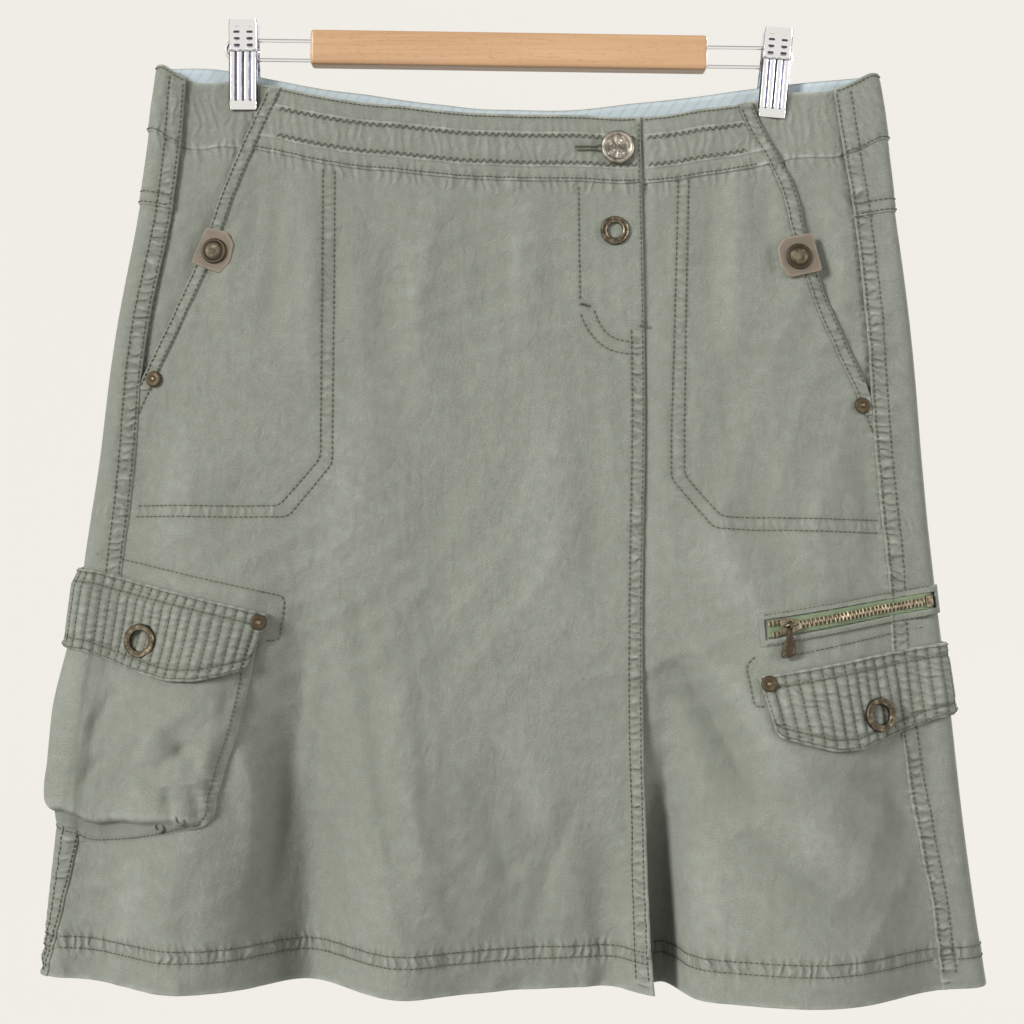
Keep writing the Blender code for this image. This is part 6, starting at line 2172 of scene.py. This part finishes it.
BACK_CREASES = (
    Crease(-160, -90, -176, -190, 8, -1.6, 3), Crease(-130, -84, -134, -180, 8, 1.2, -2),
    Crease(-96, -140, -88, -300, 12, -1.6, 5), Crease(-60, -96, -64, -210, 10, 1.1, -3),
    Crease(-30, -130, -20, -330, 14, -1.5, 4), Crease(10, -110, 4, -230, 11, 1.0, -4),
    Crease(48, -140, 56, -320, 13, -1.8, -5), Crease(92, -96, 88, -220, 9, 1.2, 3),
    Crease(120, -90, 128, -200, 8, -1.5, 2), Crease(164, -100, 176, -210, 8, 1.2, -3),
    Crease(-176, -250, -200, -420, 12, -2.0, 6), Crease(-140, -300, -150, -500, 10, 1.8, -4),
    Crease(-70, -320, -86, -510, 10, -2.4, -4, 0.3), Crease(-16, -340, 10, -505, 11, 1.9, 5),
    Crease(40, -350, 28, -510, 9, -2.0, 4), Crease(88, -300, 104, -500, 11, 2.0, -5),
    Crease(132, -330, 120, -470, 9, -2.0, 4), Crease(180, -280, 204, -460, 12, 1.7, 5),
    Crease(206, -360, 226, -500, 9, -1.8, 3), Crease(-210, -180, -214, -330, 8, 1.1, 2),
)


# ---------------------------------------------------------------- every row of stitches

class SewingPlan:
    """Where each seam is stitched."""

    def __init__(self, tailor: Tailor, panels: Panels, waist: Waist, sewing: Sewing) -> None:
        """Keep what is sewn."""
        self.form = tailor.form
        self.tailor = tailor
        self.panels = panels
        self.waist = waist
        self.sewing = sewing

    def front(self, points: Table, lift: float = 1.2, soften: int = 5, group: str = "stitches_front",
              **more: Any) -> None:
        """A row on a front, along corners (x, z)."""
        x, z = polyline(points, 1.5, soften)
        self.sewing.row(group, self.form.t_of(x, z), z, lift, **more)

    def right(self, points: Table, soften: int = 5) -> None:
        """A row on the right front, which follows the slit."""
        x, z = polyline(points, 1.5, soften)
        t = self.form.t_of(x, z)
        lift = self.panels.sink(t, z) + 1.2
        self.sewing.row("stitches_front", t, z, lift, slit=True)

    def bartack(self, x0: float, z0: float, x1: float, z1: float, lift: float) -> None:
        """A short dense bar across a seam's end."""
        x, z = np.linspace(x0, x1, 12), np.linspace(z0, z1, 12)
        self.sewing.zigzag("stitches_front", self.form.t_of(x, z), z, lift, 0.8, 0.5, 0.2)

    def back_lift(self, t: Array, z: Array) -> Array:
        """Outer lift of whatever back piece lies there."""
        form, waist = self.form, self.waist
        base = np.where(z > form.band_seam(t), waist.back_high,
                        np.where(z > form.yoke_line(t), self.panels.yoke_high, self.panels.panel))
        return base + self.panels.lap_lift(t, z)

    def sides(self) -> None:
        """Two rows on each side's lap: by its fold edge, and further out."""
        form = self.form
        z = np.linspace(-24, -524, 340)
        for lap, edge, sign in ((form.LAP_LEFT, form.LEFT, -1), (form.LAP_RIGHT, form.RIGHT, 1)):
            room = np.abs(smooth(edge, z) - smooth(lap, z))
            for out in (1.5, 9.2):
                x = smooth(lap, z) + sign * np.minimum(out, 0.62 * room)
                t = form.t_of(x, z)
                keep = (z < form.waist_line(t) - 3) & (z > form.at_hem(t) + 2)
                t, line = t[keep], z[keep]
                self.sewing.row("stitches_sides", t, line, self.back_lift(t, line) + 0.02)

    def hem(self) -> None:
        """Two rows above the hem, all round."""
        form = self.form
        for high in self.panels.hem_rows:
            x = np.linspace(float(smooth(form.LAP_LEFT, -505.0)) + 1.5, 77.0, 240)
            z = form.hem_line(x) + high
            t = form.t_of(x, z)
            self.sewing.row("stitches_hem", t, z, 1.22 + self.panels.placket(t, z))
            x = np.linspace(80.5, float(smooth(form.LAP_RIGHT, -506.0)) - 1.5, 130)
            z = form.hem_line(x) + high
            t = form.t_of(x, z)
            self.sewing.row("stitches_hem", t, z, self.panels.sink(t, z) + 1.22, slit=True)
            share = np.linspace(0, 1, 420)
            t = self.panels.around(1.2, -508.0, share)
            z = form.at_hem(t) + high
            self.sewing.row("stitches_hem", t, z, self.back_lift(t, z) + 0.02)

    def waist_rows(self) -> None:
        """Edge rows, the seam under the band, and the tapes' zigzags."""
        form, row = self.form, self.sewing.row
        top = self.waist.high + 0.02
        level = -60.0
        left = float(form.t_of(form.outer_left(level), level)) + 0.03
        lap = float(form.t_of(form.fly(level) - 1.2, level))
        right = float(form.t_of(form.outer_right(level), level)) - 0.03
        t_left, t_right = np.linspace(left, lap, 220), np.linspace(lap + 0.012, right, 70)
        for drop in (1.9, form.BAND - 1.7):
            for t in (t_left, t_right):
                z = form.waist_line(t) - drop
                lift = top + (self.panels.placket(t, z) if t is t_left else self.panels.sink(t, z))
                row("stitches_waist", t, z, lift, 2.5)
            t = self.panels.around(1.2, level, np.linspace(0, 1, 420))
            z = form.waist_line(t) - drop
            row("stitches_waist", t, z, self.back_lift(t, z) + 0.02, 2.5)
        for drop in (self.waist.tape_top + 2.4, self.waist.tape_bottom - 2.4):
            for t in (np.linspace(left + 0.05, lap + 0.003, 220), t_right[1:-3]):
                z = form.waist_line(t) - drop
                lift = self.waist.tape + (0 if t[0] < 0 else self.panels.sink(t, z))
                self.sewing.zigzag("stitches_waist", t, z, lift + 0.1, 1.3, 1.85, 0.27)
        for table, sign, end in ((form.SLANT_LEFT, 1, -214.0), (form.SLANT_RIGHT, -1, -226.0)):
            for off, last in ((7.2, end), (1.3, -198.0)):
                z = np.linspace(-34, last, 150)
                x = smooth(table, z) + sign * off
                t = form.t_of(x, z)
                keep = z < form.waist_line(t) - 2.5
                t, z = t[keep], z[keep]
                above = 1 - ramp((form.band_seam(t) - z + 2) / 5)
                strip = (z > (-200 if sign > 0 else -214)) * 0.9
                row("stitches_front", t, z, self.panels.panel + strip + 1.2 * above + 0.05)

    def fronts(self) -> None:
        """The lap, the fly's curve, the pocket bags' outlines and the backs of the cargo pockets."""
        form = self.form
        z = np.linspace(-50, -522, 320)
        for off, first in ((1.3, -50), (7.4, -166)):
            line = z[z < first]
            t = form.t_of(form.fly(line) - off, line)
            keep = line < form.waist_line(t) - 2
            band = line > form.band_seam(t)
            lift = np.where(band, self.waist.high, self.panels.panel)
            lift = lift + self.panels.placket(t, line) + 0.05
            self.sewing.row("stitches_front", t[keep], line[keep], lift[keep])
        self.front([(38.5, -86), (38.7, -118), (39.2, -152)])
        self.front([(39.2, -157), (41.0, -163), (44.7, -169), (50, -175), (56.8, -179), (75, -182)])
        self.front([(46.4, -155), (50.2, -165), (54, -169.5), (59, -172.5), (75, -175.3)])
        self.bartack(39.2, -152.6, 45.8, -154.2, 1.3)
        self.bartack(72.0, -165.0, 77.0, -165.0, 1.8)
        lap_l = float(smooth(form.LAP_LEFT, -267.0))
        lap_r = float(smooth(form.LAP_RIGHT, -275.0))
        self.front([(-103.1, -76), (-103.3, -238), (-126, -264), (lap_l + 1, -264)])
        self.front([(-96.5, -77), (-96.8, -241), (-121, -270), (lap_l + 1, -270)])
        self.right([(93.8, -82), (91.3, -163), (89.0, -225), (88.8, -249), (112, -276.5),
                    (lap_r - 1, -279)])
        self.right([(99.6, -82), (97.4, -163), (96.3, -225), (96.0, -247), (116, -270),
                    (lap_r - 1, -272)])
        self.front([(-230, -290), (-122.6, -313.7), (-125.8, -337.7), (-136, -337.7)])
        self.right([(134, -345), (128, -350), (132.4, -373.5), (139.5, -371.6)])
        self.right([(153.7, -345), (233, -330.5)])
        t = np.linspace(1.05, 2.95, 380)
        above = (1.7, 7.5)
        for high in above:
            self.sewing.row("stitches_back", t, form.yoke_line(t) + high, self.panels.yoke_high + 0.02)
        for lap, first in ((form.LAP_RIGHT, 0.8), (form.LAP_LEFT, -1.0)):
            start = float(form.t_of(smooth(lap, -100.0), -100.0))
            ends = (min(start, first), 1.05) if first > 0 else (-1.05, start)
            t = np.linspace(*ends, 60)
            for high in above:
                z = form.yoke_line(t) + high
                self.sewing.row("stitches_back", t, z, self.back_lift(t, z) + 0.02)

    def buttonhole(self) -> None:
        """A keyhole buttonhole beside the waist button: two dense rows and an eye."""
        form = self.form
        x = np.concatenate([np.linspace(37, 48.5, 30), 50.3 + 1.7 * np.cos(np.linspace(2.6, -2.6, 24)),
                            np.linspace(48.5, 37, 30)])
        z = np.concatenate([np.full(30, -65.2), -66.2 + 1.7 * np.sin(np.linspace(2.6, -2.6, 24)),
                            np.full(30, -67.2)])
        self.sewing.zigzag("stitches_buttonhole", form.t_of(x, z), z, self.waist.high + 0.65, 0.75,
                           0.42, 0.2)

    def build(self) -> None:
        """Sew every row."""
        self.sides()
        self.hem()
        self.waist_rows()
        self.fronts()
        self.buttonhole()


# ---------------------------------------------------------------- camera, light and floor

@dataclass
class Studio:
    """Camera, soft lights and a pale sweep."""

    eye: tuple = (0.0017, -1.05, -0.2674)
    lens: float = 65.9
    floor: float = -0.80

    def camera(self) -> None:
        """A camera that looks level along +Y."""
        data = bpy.data.cameras.new("camera")
        data.lens = self.lens
        data.sensor_width = 36.0
        data.clip_start = 0.02
        bpy.context.scene.camera = self.hang("camera", data, self.eye, (0, 1, 0))

    @staticmethod
    def hang(name: str, data: Any, at: tuple, look: Sequence[float]) -> Any:
        """A light or camera at a place, that looks along a direction."""
        made = bpy.data.objects.new(name, data)
        bpy.context.scene.collection.objects.link(made)
        made.location = at
        made.rotation_euler = Vector(look).to_track_quat("-Z", "Y").to_euler()
        return made

    def light(self, name: str, at: tuple, size: tuple, power: float) -> None:
        """A rectangular area light that points at the object's middle."""
        data = bpy.data.lights.new(name, "AREA")
        data.shape = "RECTANGLE"
        data.size, data.size_y = size
        data.energy = power
        self.hang(name, data, at, Vector((0, 0, -0.3)) - Vector(at))

    def sun(self) -> None:
        """The main light: far off to the left, in front and a little above, and soft."""
        data = bpy.data.lights.new("key", "SUN")
        data.energy = 3.05
        data.angle = 0.30
        self.hang("key", data, (0, 0, 0), (1.0, 0.95, -0.42))

    def sweep(self) -> None:
        """A floor that bends up into a backdrop all round: a dish, flat below and steep outside.

        Its height over the floor is 0.9 (r - 2.2)^2 outside a radius of 2.2 m.
        """
        r = np.concatenate([[0.02], np.linspace(0.4, 2.2, 6), np.linspace(2.4, 4.6, 14)]) * 1000
        turn = np.arange(72) * TAU / 72
        h = 0.0009 * np.maximum(r - 2200, 0) ** 2
        points = np.stack([r[:, None] * np.cos(turn), r[:, None] * np.sin(turn), h[:, None] + 0 * turn],
                          axis=-1).reshape(-1, 3)
        points[:, 2] += self.floor * 1000
        paint = Paint("pale_sweep")
        paint.set(Base_Color=(0.02, 0.02, 0.02), Roughness=0.95, Specular_IOR_Level=0.0)
        paint.set(Emission_Color=(0.850, 0.828, 0.772), Emission_Strength=1.0)
        faces = [grid_faces(len(r), 72, wrap=True), np.arange(72)[None, :]]
        dish = make_object("floor_sweep", points, faces, paint.material)
        dish.visible_diffuse = dish.visible_shadow = False

    def world(self) -> None:
        """An even pale sky."""
        world = bpy.data.worlds.new("studio")
        world.use_nodes = True
        sky = world.node_tree.nodes["Background"]
        sky.inputs["Color"].default_value = (1.0, 1.0, 1.0, 1.0)
        sky.inputs["Strength"].default_value = 0.36
        bpy.context.scene.world = world

    def build(self) -> None:
        """Set up everything but the object."""
        self.camera()
        self.world()
        self.sweep()
        self.sun()
        self.light("fill", (1.9, -1.1, 0.3), (0.6, 1.1), 17.0)
        self.light("behind", (1.5, 1.9, 0.6), (0.9, 1.2), 60.0)
        bpy.context.scene.view_settings.view_transform = "Standard"


def hinge_seat(frame: dict) -> Seat:
    """The pull's own space: X along its pivot, -Y down its blade, Z out."""
    joint = next(j for j in frame["record"]["behaviour"]["joints"] if j["name"] == "pull_swing")
    along = -np.array(joint["axis"], float)
    along /= np.linalg.norm(along)
    down = np.array([0, 0, -1.0])
    down -= along * down.dot(along)
    down /= np.linalg.norm(down)
    return Seat(np.array(joint["pos_m"]) / MM, np.stack([along, -down, np.cross(along, -down)]))


def main() -> None:
    """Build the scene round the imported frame."""
    logging.basicConfig(level=logging.INFO, format="%(asctime)s %(name)s: %(message)s")
    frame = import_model()
    Studio().build()
    finishes = Finishes()
    form = Form(FRONT_CREASES, BACK_CREASES)
    tailor = Tailor(form, finishes)
    sewing = Sewing(form)
    panels = Panels(tailor)
    panels.build()
    waist = Waist(tailor, panels)
    waist.build()
    bag = CargoBag(tailor)
    bag.build(sewing)
    flap_left = Flap(tailor, "flap_left", top_in=(-132, -323), top_out=-298.5, side_in=(-142, -353),
                     side_out=-343, point=-362, point_at=0.34, mirror=-1, rows=22, bag=bag)
    flap_right = Flap(tailor, "flap_right", top_in=(134.3, -356.7), top_out=-340,
                      side_in=(143, -388.7), side_out=-380, point=-399, point_at=0.38, mirror=1,
                      rows=18)
    flap_left.build(sewing)
    flap_right.build(sewing)
    zipper = Zip(tailor)
    zipper.cloth(sewing)
    zipper.teeth()
    zipper.slider(hinge_seat(frame))
    Trims(tailor, flap_left, flap_right, bag).build()
    Hanger(finishes).build()
    SewingPlan(tailor, panels, waist, sewing).build()
    sewing.press(tailor.pieces)
    sewing.finish(finishes.thread)


if __name__ == "__main__":
    main()
